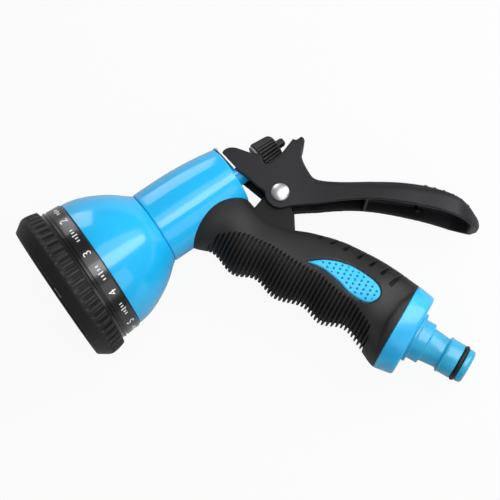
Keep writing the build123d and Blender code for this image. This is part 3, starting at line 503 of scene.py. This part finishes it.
# ------------------------------------------------------------------ bell and barrel
BELL_FRONT = 24.1
BELL_LENGTH = 29.9
BELL_RIM_R = 32.6
BELL_NECK_R = 17.7
BELL_WALL = 2.4
BELL_INSIDE = (25.0, 53.5)    # stations of the inside's front and rear
BARREL_FRONT = 54.02          # just clear of the bell's rear
BARREL_BORE = 6.0
# shares of the bell's length, and of the way from the neck's radius out to the rim's
BELL_CURVE = [(0, 1), (0.185, 0.94), (0.39, 0.80), (0.62, 0.564), (0.79, 0.336), (0.91, 0.134), (1, 0)]

bell_knots = np.array(BELL_CURVE) * [BELL_LENGTH, BELL_RIM_R - BELL_NECK_R] + [BELL_FRONT, BELL_NECK_R]
bell_outside = resampled(curve_through(bell_knots), 0.7, closed=False)
bell_inside = bell_outside[::-1] - [0, BELL_WALL]
bell_inside[:, 0] = np.clip(bell_inside[:, 0], *BELL_INSIDE)
bell_lip = [(24.35, 30.4), (24.12, 30.8), (24.08, 32.2), (24.2, 32.5)]
bell_back = [(53.9, 17.5), (BELL_REAR, 17.1), (BELL_REAR, 15.4)]
bell_outline = np.vstack([bell_lip, bell_outside[1:-1], bell_back, bell_inside[1:]])
turned_piece("bell_shell", SPRAY, bell_outline, "body", blue_paint, ["bell_housing"], 256)

turned_piece("barrel_shell", SPRAY, softened([
    (BARREL_FRONT, BARREL_BORE), (BARREL_FRONT, 17.4, 0.2), (54.35, 17.95, 0.3), (60.0, 18.0, 1.0),
    (68.0, 18.0), (75.5, 17.72), (82.75, 17.1), (90.0, 16.25), (BARREL_END, 15.0, 1.4),
    (BARREL_END, BARREL_BORE),
], 1.5), "body", blue_paint, ["nozzle_body"], 224)

# ------------------------------------------------------------------ collar, nipple and its ring
COLLAR_FRONT = -0.02          # just inside the end of the grip
COLLAR_END = 9.3
NIPPLE_BORE = 5.0
HOSE_RING_STATION = 33.3
HOSE_RING_R = 8.75            # outside radius
HOSE_WIRE_R = 1.2

turned_piece("collar", HANDLE, softened([
    (COLLAR_FRONT, 12.0), (COLLAR_FRONT, 20.9, 0.3), (0.35, 21.2, 0.4), (COLLAR_END, 19.8, 1.6),
    (COLLAR_END, 12.6, 0.4), (8.9, 12.2, 0.3), (8.9, 9.0),
], 0.2), "body", collar_plastic, sides=224)
turned_piece("nipple_shell", HANDLE, softened([
    (0.3, NIPPLE_BORE), (0.3, 9.0), (COLLAR_END, 9.0, 0.1), (COLLAR_END, 12.0), (10.9, 12.0, 0.45),
    (10.9, 9.85, 0.4), (16.2, 9.85, 0.5), (16.2, 8.2, 0.8), (24.4, 7.4, 0.6), (25.0, 8.7, 0.3),
    (25.6, 8.9, 0.2), (26.0, 8.4), (32.1, 8.4, 0.3), (32.1, 6.35), (34.5, 6.35), (34.5, 8.0, 0.3),
    (36.8, 8.0, 0.7), (37.8, 7.0, 0.5), (37.8, 5.6, 0.3), (37.2, NIPPLE_BORE, 0.3),
], 0.15), "body", nipple_plastic, ["hose_nipple"])

# the ring's section is a circle of the wire's radius
wire_angle = round_angles(24)
wire_station = HOSE_RING_STATION + HOSE_WIRE_R * np.cos(wire_angle)
wire_radius = HOSE_RING_R - HOSE_WIRE_R + HOSE_WIRE_R * np.sin(wire_angle)
wire_outline = np.stack([wire_station, wire_radius], axis=1)
turned_piece("hose_ring", HANDLE, wire_outline, "body", seal_rubber, ["nipple_o_ring"], 128)

# ------------------------------------------------------------------ gland, stem, washer and knob
STEM_R = 2.1
STEM_BORE = 2.15              # in the gland and the knob
GLAND_R = 6.4
GLAND_END = 104.0
KNOB_FRONT = 113.3
KNOB_RIBS = 24
KNOB_SIDES = KNOB_RIBS * 16
FLUTE_DEPTH = 0.95
FLUTE_FLOOR = 5.2             # nothing nearer the axis is cut

turned_piece("gland", SPRAY, softened([
    (88.5, STEM_BORE), (88.5, 5.2), (BARREL_END, 5.2), (BARREL_END, GLAND_R), (GLAND_END, GLAND_R, 0.8),
    (GLAND_END, STEM_BORE),
], 0.2), "body", blue_paint, ["gland_nut"], 96)
turned_piece("stem", SPRAY, softened([
    (63.45, 0.01), (63.45, 3.4, 0.3), (64.85, 3.4, 0.2), (64.85, STEM_R), (126.55, STEM_R, 0.3),
    (127.55, 1.4, 0.3), (127.55, 0.01),
], 0.1), "valve", black_plastic, ["valve_stem"], 64)
turned_piece("washer", SPRAY, softened([
    (111.95, STEM_R), (111.95, 6.4, 0.3), (113.15, 6.4, 0.3), (113.15, STEM_R),
], 0.1), "valve", grey_plastic, ["knob_washer"], 96)


def knob_flutes(station, radius, angle):
    """Depth of round-bottomed flutes along the knob, which run out at its ends.

    It follows 1 less a power of the absolute cosine of half the ribs' number times the angle.
    """
    groove = 1 - np.abs(np.cos(angle * KNOB_RIBS / 2)) ** 0.7
    ends = smooth_step(station, 113.4, 114.2) * (1 - smooth_step(station, 122.6, 123.5))
    return FLUTE_DEPTH * groove * (radius > FLUTE_FLOOR) * ends


knob_outline = resampled(softened([
    (KNOB_FRONT, STEM_BORE), (KNOB_FRONT, 7.2, 0.5), (122.3, 6.35, 1.2), (123.55, 4.9, 0.6),
    (123.55, 3.2, 0.3), (122.9, 3.0, 0.2), (122.9, STEM_BORE),
], 0.1), 0.3)
knob_mesh = grid_mesh("knob", revolved(SPRAY, knob_outline, KNOB_SIDES, knob_flutes), close_rows=True)
add_piece("knob", knob_mesh, "knob", black_plastic, ["adjusting_knob"])

# ------------------------------------------------------------------ rivet
SHANK_R = 2.4
HEAD_INSIDE = 9.55            # station of the head's flat side
HEAD_EDGE_R = 4.2
DOME_R = 4.35
DOME_BASE = 9.75
DOME_RISE = 1.95
DOME_TOP = 11.7

# each head's dome is a quarter of an ellipse, turned
dome = np.linspace(0, math.pi / 2, 12)[:, None]
dome_curve = np.hstack([DOME_BASE + DOME_RISE * np.sin(dome), DOME_R * np.cos(dome)])[:-1]
head_start = [(HEAD_INSIDE, SHANK_R), (HEAD_INSIDE, HEAD_EDGE_R)]
rivet_outline = np.vstack([[(-9.6, 0.01), (-9.6, SHANK_R)], head_start, dome_curve, [(DOME_TOP, 0.01)]])
turned_piece("rivet", RIVET, rivet_outline, "body", rivet_steel, ["lever_rivet"], 96)
cap_start = np.vstack([head_start, dome_curve]) * [-1, 1]
cap_outline = np.vstack([cap_start, [(-DOME_TOP, 0.01), (-10.55, 0.01), (-10.55, SHANK_R)]])
turned_piece("rivet_end", RIVET, cap_outline, "body", rivet_steel, ["rivet_cap"], 96)

# ------------------------------------------------------------------ soft grip
GRIP_COLUMNS = 168
GRIP_ROWS = np.r_[
    np.linspace(-0.01, 6.0, 14)[:-1], np.linspace(6.0, 94.0, 516), np.linspace(94.0, 106.0, 26)[1:]
]
# distance from the collar, height above the handle axis, depth below it, half width
GRIP_SECTIONS = np.array([
    (0, 21.2, 21.2, 21.2), (11, 22.4, 16.4, 19.4), (20.5, 22.9, 13.2, 18.0), (31, 22.6, 16.7, 17.0),
    (41.4, 21.5, 13.9, 16.2), (54.8, 18.1, 17.0, 15.4), (66.8, 13.7, 13.7, 15.0), (77, 13.2, 17.0, 15.0),
    (89.5, 16.9, 13.1, 15.2), (97, 17.2, 14.9, 14.6), (106, 17.4, 17.0, 12.0),
])
SKIN = 2.9                    # thickness of the sleeve
MID_R = 16.0                  # radius that turns degrees round the grip into millimetres

# upper edge of the ribs: distance from the collar, degrees round from the top of the grip
RIB_EDGE = np.array([
    (7.6, 176), (7.7, 158), (7.9, 144), (10.0, 127), (17.2, 121), (24.4, 112), (31.1, 104), (39.5, 102),
    (46.6, 98), (52.4, 92), (58.4, 88), (64.2, 86), (69.8, 83), (75.2, 81), (79.4, 85), (84.0, 98),
    (88.6, 116), (91.0, 128), (92.4, 155), (92.8, 176),
])
PAST_BOTTOM = 62              # millimetres round from the top where the ribs' outline closes, past the bottom
RIB_PITCH = 2.05
RIB_DEPTH = 1.05
RIB_DEEPER = 0.85             # added at the bottom, near the collar
RIB_END = 0.9                 # length of a groove's round end

# short slots on the shoulder: distance from the collar and degrees from the top at the lower end, depth
SLOTS = [
    (50.4, 38, 0.6), (44.0, 44, 0.8), (37.5, 46, 0.9), (30.2, 48, 1.0), (23.6, 53, 1.1), (17.4, 57, 1.1),
    (11.3, 61, 1.1),
]
SLOT_SLANT = 0.07             # millimetres towards the collar for each degree up

# crease at the collar: degrees from the top, distance of its bottom from the collar
CREASE = [(0, 0.3), (39, 0.6), (60, 2.8), (76, 4.4), (102, 5.1), (123, 4.3), (140, 2.2), (180, 0.6)]
CREASE_DEPTH = 2.1

# the inset's outline in the handle's plane of symmetry: station, height above the axis
TEARDROP = [
    (-48.8, 2.6), (-42.4, 7.4), (-34.8, 10.2), (-26.6, 10.9), (-16.6, 9.1), (-12.9, 4.7),
    (-16.3, -0.4), (-25.3, -0.5), (-32.2, 1.7), (-40.9, 3.2), (-48.8, 2.6),
]
BED_DEPTH = 1.3
LIP_RISE = 0.08
LIP_OFF = 0.9                 # from the inset's outline to the top of the lip round it


def grip_size(distance):
    """Top, bottom and half width at distances from the collar: a cubic through the sections, span by span.

    Each span's end slopes are half the difference of its neighbours, and the outermost sections count twice.
    """
    last = len(GRIP_SECTIONS) - 2
    at = np.clip(distance, 0, GRIP_SECTIONS[-1, 0] - 1e-6)
    near = np.clip(np.searchsorted(GRIP_SECTIONS[:, 0], at, side="right") - 1, 0, last)
    before, start, end, after = (
        GRIP_SECTIONS[np.clip(near + shift, 0, last + 1), 1:] for shift in (-1, 0, 1, 2)
    )
    share = (at - GRIP_SECTIONS[near, 0]) / (GRIP_SECTIONS[near + 1, 0] - GRIP_SECTIONS[near, 0])
    share = share[..., None]
    bend = (3 * start - before - 3 * end + after) * share**3
    bend += (2 * before - 5 * start + 4 * end - after) * share**2 + (end - before) * share
    return start + bend / 2


def side_height(along, above):
    """Half width of the grip at a point of its plane of symmetry: z of the ellipse at that height."""
    top, bottom, half = np.moveaxis(grip_size(-along), -1, 0)
    level = (above - (top - bottom) / 2) / ((top + bottom) / 2)
    return half * np.sqrt(np.clip(1 - level**2, 0, 1))


def edge_distance(points, outline):
    """Distance from points to a closed outline of straight runs, negative inside (even-odd rule)."""
    a, b = outline[:-1], outline[1:]
    run = b - a
    off = points[..., None, :] - a
    share = np.clip((off * run).sum(-1) / np.maximum((run**2).sum(-1), 1e-9), 0, 1)
    far = np.linalg.norm(off - share[..., None] * run, axis=-1).min(-1)
    px, py = points[..., 0, None], points[..., 1, None]
    spans = (a[:, 1] > py) != (b[:, 1] > py)
    cross = a[:, 0] + (py - a[:, 1]) * run[:, 0] / np.where(run[:, 1] == 0, 1e-9, run[:, 1])
    inside = (spans & (px < cross)).sum(-1) % 2 == 1
    return np.where(inside, -far, far)


def rib_relief(distance, from_top):
    """Depth of the wide grooves between thin ridges, at an even pitch inside the ribs' edge line, and painted
    shade: full in the grooves, 0.35 over the rest of the rib field.

    The phase is 0 at a groove's middle and 1 on a ridge, and a cubic ramp in it makes the wall. Near the edge
    line the ramp starts at the square root of the distance in, so the groove ends round.
    """
    rib_line = curve_through(RIB_EDGE, 4) * [1, math.radians(1) * MID_R]
    rib_close = [(RIB_EDGE[-1, 0], PAST_BOTTOM), (RIB_EDGE[0, 0], PAST_BOTTOM)]
    rib_outline = np.vstack([rib_line, rib_close, rib_line[:1]])
    inside = -edge_distance(np.stack([distance, np.radians(from_top) * MID_R], axis=-1), rib_outline)
    phase = np.abs(distance / RIB_PITCH - np.round(distance / RIB_PITCH)) * 2
    round_end = np.sqrt(np.clip(inside / RIB_END, 0, 1))
    groove = 1 - smooth_step(phase, 0.36 * round_end, 0.36 * round_end + 0.30)
    groove = groove * smooth_step(inside, -0.1, 0.8)
    deep = RIB_DEPTH + RIB_DEEPER * smooth_step(from_top, 120, 175) * (1 - smooth_step(distance, 55, 85))
    return deep * groove, np.maximum(groove, 0.35 * smooth_step(inside, 0, 3))


def slot_relief(distance, from_top):
    """Depth and painted shade of the slots: a cubic ramp across each, which widens and deepens to its lower
    end.
    """
    depth = np.zeros(distance.shape)
    shade = np.zeros(distance.shape)
    for place, low_end, deep in SLOTS:
        across = np.abs(distance - place + SLOT_SLANT * (low_end - from_top))
        wide = 0.5 + 0.5 * smooth_step(from_top, 10, low_end)
        above_end = 1 - smooth_step(from_top, low_end - 2, low_end + 1)
        slot = above_end * (1 - smooth_step(across, wide - 0.4, wide))
        depth += deep * slot * (0.35 + 0.65 * smooth_step(from_top, 6, 22))
        shade = np.maximum(shade, slot)
    return depth, shade


def crease_relief(distance, from_top):
    """Depth of the crease on the sides: a steep cubic ramp from the collar down, then a long one back up."""
    bottom = np.interp(from_top, *zip(*CREASE))
    beside = smooth_step(from_top, 34, 66) * (1 - smooth_step(from_top, 122, 150))
    down = smooth_step(distance, bottom - 1.9, bottom)
    return CREASE_DEPTH * beside * down * (1 - smooth_step(distance, bottom + 0.4, bottom + 13.0))


def bed_relief(station, above):
    """Depth of the bed for the inset, with a cubic ramp at its outline, and a low lip round it."""
    outside = edge_distance(np.stack([station, above], axis=-1), teardrop_line)
    lip = LIP_RISE * (1 - smooth_step(np.abs(outside - LIP_OFF), 0.0, 0.6))
    return BED_DEPTH * (1 - smooth_step(outside, 0.05, 0.45)) - lip


teardrop_line = curve_through(TEARDROP, 10)
distance, angle = np.meshgrid(GRIP_ROWS, round_angles(GRIP_COLUMNS), indexing="ij")
from_top = np.degrees(np.arccos(np.cos(angle)))        # the same on both sides
top, bottom, half = np.moveaxis(grip_size(GRIP_ROWS), -1, 0)[:, :, None]
reach = (top + bottom) / 2
height = (top - bottom) / 2 + reach * np.cos(angle)
width = half * np.sin(angle)
outward = np.stack([np.cos(angle) / reach, np.sin(angle) / half], axis=-1)
outward /= np.linalg.norm(outward, axis=-1, keepdims=True)


def sleeve_grid(depth):
    """Points at a depth under the plain sleeve, square to the ellipse of each section."""
    return np.stack([-distance, height - depth * outward[..., 0], width - depth * outward[..., 1]], axis=-1)


rib_depth, rib_shade = rib_relief(distance, from_top)
slot_depth, slot_shade = slot_relief(distance, from_top)
on_sides = np.abs(np.sin(angle)) > 0.3
outside = sleeve_grid(
    rib_depth + slot_depth + crease_relief(distance, from_top) + bed_relief(-distance, height) * on_sides
)
inside = sleeve_grid(SKIN)[::-24]
grip_mesh = grid_mesh("grip", placed(HANDLE, np.concatenate([outside, inside])), close_rows=True)
# Painted shade: grooves and slots darker, the rib field a little; none on the sleeve's inside.
marked(grip_mesh, np.concatenate([np.maximum(rib_shade, slot_shade), np.zeros(inside.shape[:2])]))
add_piece("grip", grip_mesh, "body", grip_rubber, ["grip_sleeve"], crease=0)

# ------------------------------------------------------------------ teardrop insets
INSET_RINGS = 64
INSET_SINK = 0.12             # from the plain sleeve down to the inset's face
INSET_SIDE = 1.2              # height of the inset's side wall
EDGE_FALL = 0.55
DIMPLE_COLUMNS = 2.75
DIMPLE_ROWS = 2.08
DIMPLE_START = (-23.4, 0.55)
DIMPLE_R = 0.52
DIMPLE_DEPTH = 0.4
# middle line that the rings of the face shrink to: station, height above the axis
HUB = [(-40.0, 4.6), (-33.0, 5.2), (-26.0, 4.9), (-17.5, 3.9)]


def dimples_in(plane, depth):
    """1 inside round dimples and 0 between them and near the edge.

    They stand on a grid whose every other column is half a row up.
    """
    column = np.round((plane[..., 0] - DIMPLE_START[0]) / DIMPLE_COLUMNS)
    rise = DIMPLE_START[1] + DIMPLE_ROWS / 2 * (column % 2)
    middle = np.round((plane[..., 1] - rise) / DIMPLE_ROWS) * DIMPLE_ROWS + rise
    off = np.hypot(plane[..., 0] - column * DIMPLE_COLUMNS - DIMPLE_START[0], plane[..., 1] - middle)
    return (1 - smooth_step(off, DIMPLE_R - 0.15, DIMPLE_R + 0.15)) * smooth_step(depth, 0.75, 1.1)


# rings from the hub out to the teardrop; the face follows the sleeve and falls off at its edge
inset_edge = resampled(teardrop_line[:-1], 0.22)
hub_station = np.clip(inset_edge[:, 0] * 0.55 - 10.5, HUB[0][0], HUB[-1][0])
hub = np.stack([hub_station, np.interp(hub_station, *zip(*HUB))], axis=1)
share = np.linspace(0, 1, INSET_RINGS)[:, None, None]
inset_plane = hub[None] + share * (inset_edge - hub)[None]
inset_depth = -edge_distance(inset_plane, teardrop_line)
dimples = dimples_in(inset_plane, inset_depth)
level = side_height(inset_plane[..., 0], inset_plane[..., 1]) - INSET_SINK
level -= EDGE_FALL * (1 - smooth_step(inset_depth, 0.0, 0.7)) ** 2
level -= DIMPLE_DEPTH * dimples
for side, name, node in ((1, "inset_left", "grip_inset_left"), (-1, "inset_right", "grip_inset_right")):
    face = np.concatenate([inset_plane, side * level[..., None]], axis=-1)
    edge = face[-1:].copy()
    edge[..., 2] -= side * INSET_SIDE
    base = face[:1].copy()
    base[..., 2] = edge[..., 2].mean()
    mesh = grid_mesh(name, placed(HANDLE, np.concatenate([face, edge, base])))
    # The dimples are painted darker: painted shade in the hollows.
    marked(mesh, np.concatenate([dimples, np.zeros((2, dimples.shape[1]))]))
    add_piece(name, mesh, "body", inset_plastic, [node], crease=0)

# ------------------------------------------------------------------ lever and its bracket
# back of the lever's tail in the pivot's frame: distance from the pivot, height
LEVER_BACK = [
    (12.0, 6.0), (21.5, 5.3), (41.5, 5.2), (61.5, 3.8), (75.0, 0.9), (84.0, -3.4), (89.6, -8.8),
    (92.3, -13.8),
]
# half width, edge radius, and drop of the cheeks' lower edges, each at distances from the pivot
LEVER_HALF = [
    (7.0, 9.4), (25.0, 11.3), (39.7, 12.4), (55.0, 13.2), (66.5, 13.3), (78.0, 12.3), (85.8, 10.4),
    (92.3, 5.0),
]
EDGE_RADIUS = [(12.0, 0.6), (24.0, 2.0), (45.0, 4.5), (80.0, 5.0), (92.0, 3.0)]
TAIL_DROP = [(6.0, 0.0), (18.0, 1.4), (40.0, 1.5), (62.0, 1.3), (80.0, 1.0), (92.0, 0.0)]
TAIL_WALL = 2.2
TAIL_SPREAD = 0.15
NOSE_SHIFT = 1.1
SWELL = 2.4
SWELL_MIDDLE = (0.8, 18.8)    # from the pivot, along the spray axis and square to it
CHEEK_INSIDE = 6.9
BRACKET_SHIFT = 1.2
SPRAY_RUN = math.cos(math.radians(SPRAY_ANGLE))
SPRAY_RISE = math.sin(math.radians(SPRAY_ANGLE))


def rounded_copy(node, voxel, passes):
    """A CAD node's mesh with rounded edges.

    It is remeshed in even voxels, then each vertex is moved halfway to the mean of its neighbours, some
    passes over.
    """
    shape = bmesh.new()
    shape.from_mesh(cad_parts[node].data)
    bmesh.ops.remove_doubles(shape, verts=shape.verts, dist=1e-6)
    mesh = bpy.data.meshes.new(node)
    shape.to_mesh(mesh)
    shape.free()
    form = bpy.data.objects.new(node, mesh)
    bpy.context.scene.collection.objects.link(form)
    even = form.modifiers.new("even", "REMESH")
    even.mode = "VOXEL"
    even.voxel_size = voxel * MM
    smooth = form.modifiers.new("smooth", "SMOOTH")
    smooth.factor = 0.5
    smooth.iterations = passes
    rounded = bpy.data.meshes.new_from_object(form.evaluated_get(bpy.context.evaluated_depsgraph_get()))
    bpy.data.objects.remove(form)
    return rounded


def pivot_points(mesh):
    """The mesh's vertices as points of the pivot's frame, in millimetres."""
    return (read_points(mesh) / MM - PIVOT[0]) @ PIVOT[1]


def lever_form(mesh):
    """The lever's tail and nose, formed from the plain copy in the pivot's frame.

    Round edges: where the distances in from the back and from the cheek are both less than the edge radius,
    the square corner is drawn onto a circle of that radius, (u, v) times max(u, v) over its length.
    Nose: everything ahead of the eye moves towards the nose plate, along the spray axis.
    Beside the washer the cheeks' upper edge swells by a bell curve of the distance from its middle.
    Spread: half widths grow by a share, and the cheeks' lower edges drop, most of all before the end.
    Vertices more than a wall's thickness in from back and cheek, the hollow's inside, are painted dark as
    shade.
    """
    x, y, z = np.moveaxis(pivot_points(mesh), -1, 0)
    back = np.interp(x, *curve_through(LEVER_BACK, 8).T)
    half = np.interp(x, *zip(*LEVER_HALF))
    radius = np.interp(x, *zip(*EDGE_RADIUS))
    tail = smooth_step(x, 12, 16)
    # painted shade inside the lever's hollow
    painted_shade = smooth_step(np.minimum(back - y, half - np.abs(z)), TAIL_WALL - 0.5, TAIL_WALL - 0.1) * tail

    u = np.clip(1 - (back - y) / radius, 0, None)
    v = np.clip(1 - (half - np.abs(z)) / radius, 0, None)
    drawn = 1 - tail * (1 - np.maximum(u, v) / np.maximum(np.hypot(u, v), 1e-6)) * (u > 0) * (v > 0)
    y = np.where(u > 0, y - u * radius * (1 - drawn), y)
    z = np.where(v > 0, z - np.sign(z) * v * radius * (1 - drawn), z)

    along = x * SPRAY_RUN + y * SPRAY_RISE
    over = y * SPRAY_RUN - x * SPRAY_RISE
    nose = NOSE_SHIFT * (1 - smooth_step(along, -15, -6)) * smooth_step(over, 0, 9)
    from_middle = (along - SWELL_MIDDLE[0]) ** 2 + (over - SWELL_MIDDLE[1]) ** 2
    swell = SWELL * np.exp(-from_middle / 9) * (np.abs(z) > CHEEK_INSIDE)
    x = x - nose * SPRAY_RUN + 0.45 * swell
    y = y - nose * SPRAY_RISE + 0.89 * swell

    late = smooth_step(x, 30, 62) * (1 - smooth_step(x, 80, 94))
    z = z * (1 + TAIL_SPREAD * late)
    y = y - np.interp(x, *zip(*TAIL_DROP)) * smooth_step(back - y, 2, 8) * (x > 6)
    write_points(mesh, placed(PIVOT, np.stack([x, y, z], axis=1)))
    marked(mesh, painted_shade)
    return mesh


def bracket_form(mesh):
    """The bracket, its rear below the pivot moved back by cubic ramps of both distances from the pivot."""
    points = pivot_points(mesh)
    below = 1 - smooth_step(points[:, 1], -10, -7)
    points[:, 0] += BRACKET_SHIFT * smooth_step(points[:, 0], 2.5, 4.8) * below
    write_points(mesh, placed(PIVOT, points))
    return mesh


lever_mesh = lever_form(rounded_copy("squeeze_lever", 0.4, 4))
add_piece("lever", lever_mesh, "lever", lever_plastic, ["squeeze_lever"], crease=0)
bracket_mesh = bracket_form(rounded_copy("lever_bracket", 0.35, 8))
add_piece("bracket", bracket_mesh, "body", bracket_plastic, ["lever_bracket"], crease=0)

# ------------------------------------------------------------------ camera
# Camera and lamps are set out in axes that lean with the nozzle's plane; Z is square to it.
LENS = 120.024
EYE_DISTANCE = 775.3488
LOOK_AT = np.array([-82.00, 82.04, 0.0])
SHIFT_LEFT = 15.35
SHIFT_DOWN = 27.67

TO_EYE = np.array([-0.010, -0.223, 1.0])
TO_EYE /= np.linalg.norm(TO_EYE)
RIGHT = np.array([TO_EYE[2], 0, -TO_EYE[0]])
RIGHT /= np.linalg.norm(RIGHT)
UP = np.cross(TO_EYE, RIGHT)


def leaning(middle, axes):
    """Place of an object whose middle and axes, as columns, are set out in the leaning axes."""
    return Matrix.Translation(Vector(LEAN @ middle * MM)) @ Matrix((LEAN @ axes).tolist()).to_4x4()


eye = LOOK_AT + TO_EYE * EYE_DISTANCE - SHIFT_LEFT * RIGHT - SHIFT_DOWN * UP
camera_data = bpy.data.cameras.new("camera")
camera_data.lens = LENS
camera_data.clip_end = 20
camera = bpy.data.objects.new("camera", camera_data)
camera.matrix_world = leaning(eye, np.stack([RIGHT, UP, TO_EYE], axis=1))
bpy.context.scene.collection.objects.link(camera)
bpy.context.scene.camera = camera

# ------------------------------------------------------------------ floor and room
FLOOR_HALF = 2500.0
FLOOR_GLOW = 0.93             # share of plain white in what the camera sees of the floor
ROOM_LIGHT = 0.2              # strength of the room for the object; the camera sees 1


def white_for_camera(material, nodes, links, shader):
    """The material mixed with plain white for camera rays alone."""
    glow = nodes.new("ShaderNodeEmission")
    glow.inputs["Color"].default_value = (1, 1, 1, 1)
    glow.inputs["Strength"].default_value = 1.0
    path = nodes.new("ShaderNodeLightPath")
    seen = nodes.new("ShaderNodeMath")
    seen.operation = "MULTIPLY"
    seen.inputs[1].default_value = FLOOR_GLOW
    blend = nodes.new("ShaderNodeMixShader")
    links.new(path.outputs["Is Camera Ray"], seen.inputs[0])
    links.new(seen.outputs["Value"], blend.inputs["Fac"])
    links.new(shader.outputs["BSDF"], blend.inputs[1])
    links.new(glow.outputs["Emission"], blend.inputs[2])
    links.new(blend.outputs["Shader"], nodes["Material Output"].inputs["Surface"])
    return material


dressed_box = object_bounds()
floor_z = dressed_box[0][2] / MM
floor_ends = (-FLOOR_HALF, FLOOR_HALF)
floor_grid = np.array([[(x, y, floor_z) for y in floor_ends] for x in floor_ends])
floor_mesh = grid_mesh("floor", floor_grid, close_columns=False)
floor_mesh.materials.append(white_for_camera(*new_material("floor_paint", (0.62, 0.62, 0.62), 0.9)))
floor = bpy.data.objects.new("floor", floor_mesh)
bpy.context.scene.collection.objects.link(floor)

world = bpy.data.worlds.new("studio")
world.use_nodes = True
bpy.context.scene.world = world
room = world.node_tree
sky = room.nodes["Background"]
path = room.nodes.new("ShaderNodeLightPath")
strength = room.nodes.new("ShaderNodeMapRange")
strength.inputs["To Min"].default_value = ROOM_LIGHT
strength.inputs["To Max"].default_value = 1.0
sky.inputs["Color"].default_value = (1, 1, 1, 1)
room.links.new(path.outputs["Is Camera Ray"], strength.inputs["Value"])
room.links.new(strength.outputs["Result"], sky.inputs["Strength"])

# ------------------------------------------------------------------ lamps
OVERHEAD_ALONG = (0.76, 0.587, -0.275)
OVERHEAD_FACING = (-0.217, -0.168, -0.962)


def soft_box(name, middle, along, facing, size, power):
    """Rectangular lamp: its middle in millimetres, the direction of its length, and where it shines."""
    facing = np.array(facing, float) / np.linalg.norm(facing)
    along = np.array(along, float) - np.dot(along, facing) * facing
    along /= np.linalg.norm(along)
    lamp_data = bpy.data.lights.new(name, "AREA")
    lamp_data.shape = "RECTANGLE"
    lamp_data.size = size[0] * MM
    lamp_data.size_y = size[1] * MM
    lamp_data.energy = power
    lamp = bpy.data.objects.new(name, lamp_data)
    lamp.matrix_world = leaning(middle, np.stack([np.cross(along, -facing), along, -facing], axis=1))
    lamp.visible_camera = False
    bpy.context.scene.collection.objects.link(lamp)


soft_box("side", (-372, 695, 135), (0.092, -0.178, 0.98), (0.45, -0.87, -0.20), (307, 560), 1.8)
soft_box("overhead", (224, 273, 375), OVERHEAD_ALONG, OVERHEAD_FACING, (300, 910), 1.5)
soft_box("overhead_core", (262, 211, 360), OVERHEAD_ALONG, OVERHEAD_FACING, (166, 910), 1.8)
soft_box("fill", (196, -356, 390), (0.82, 0.57, 0), (-0.455, 0.655, -0.60), (350, 800), 1.0)
bpy.context.scene.view_settings.view_transform = "Standard"
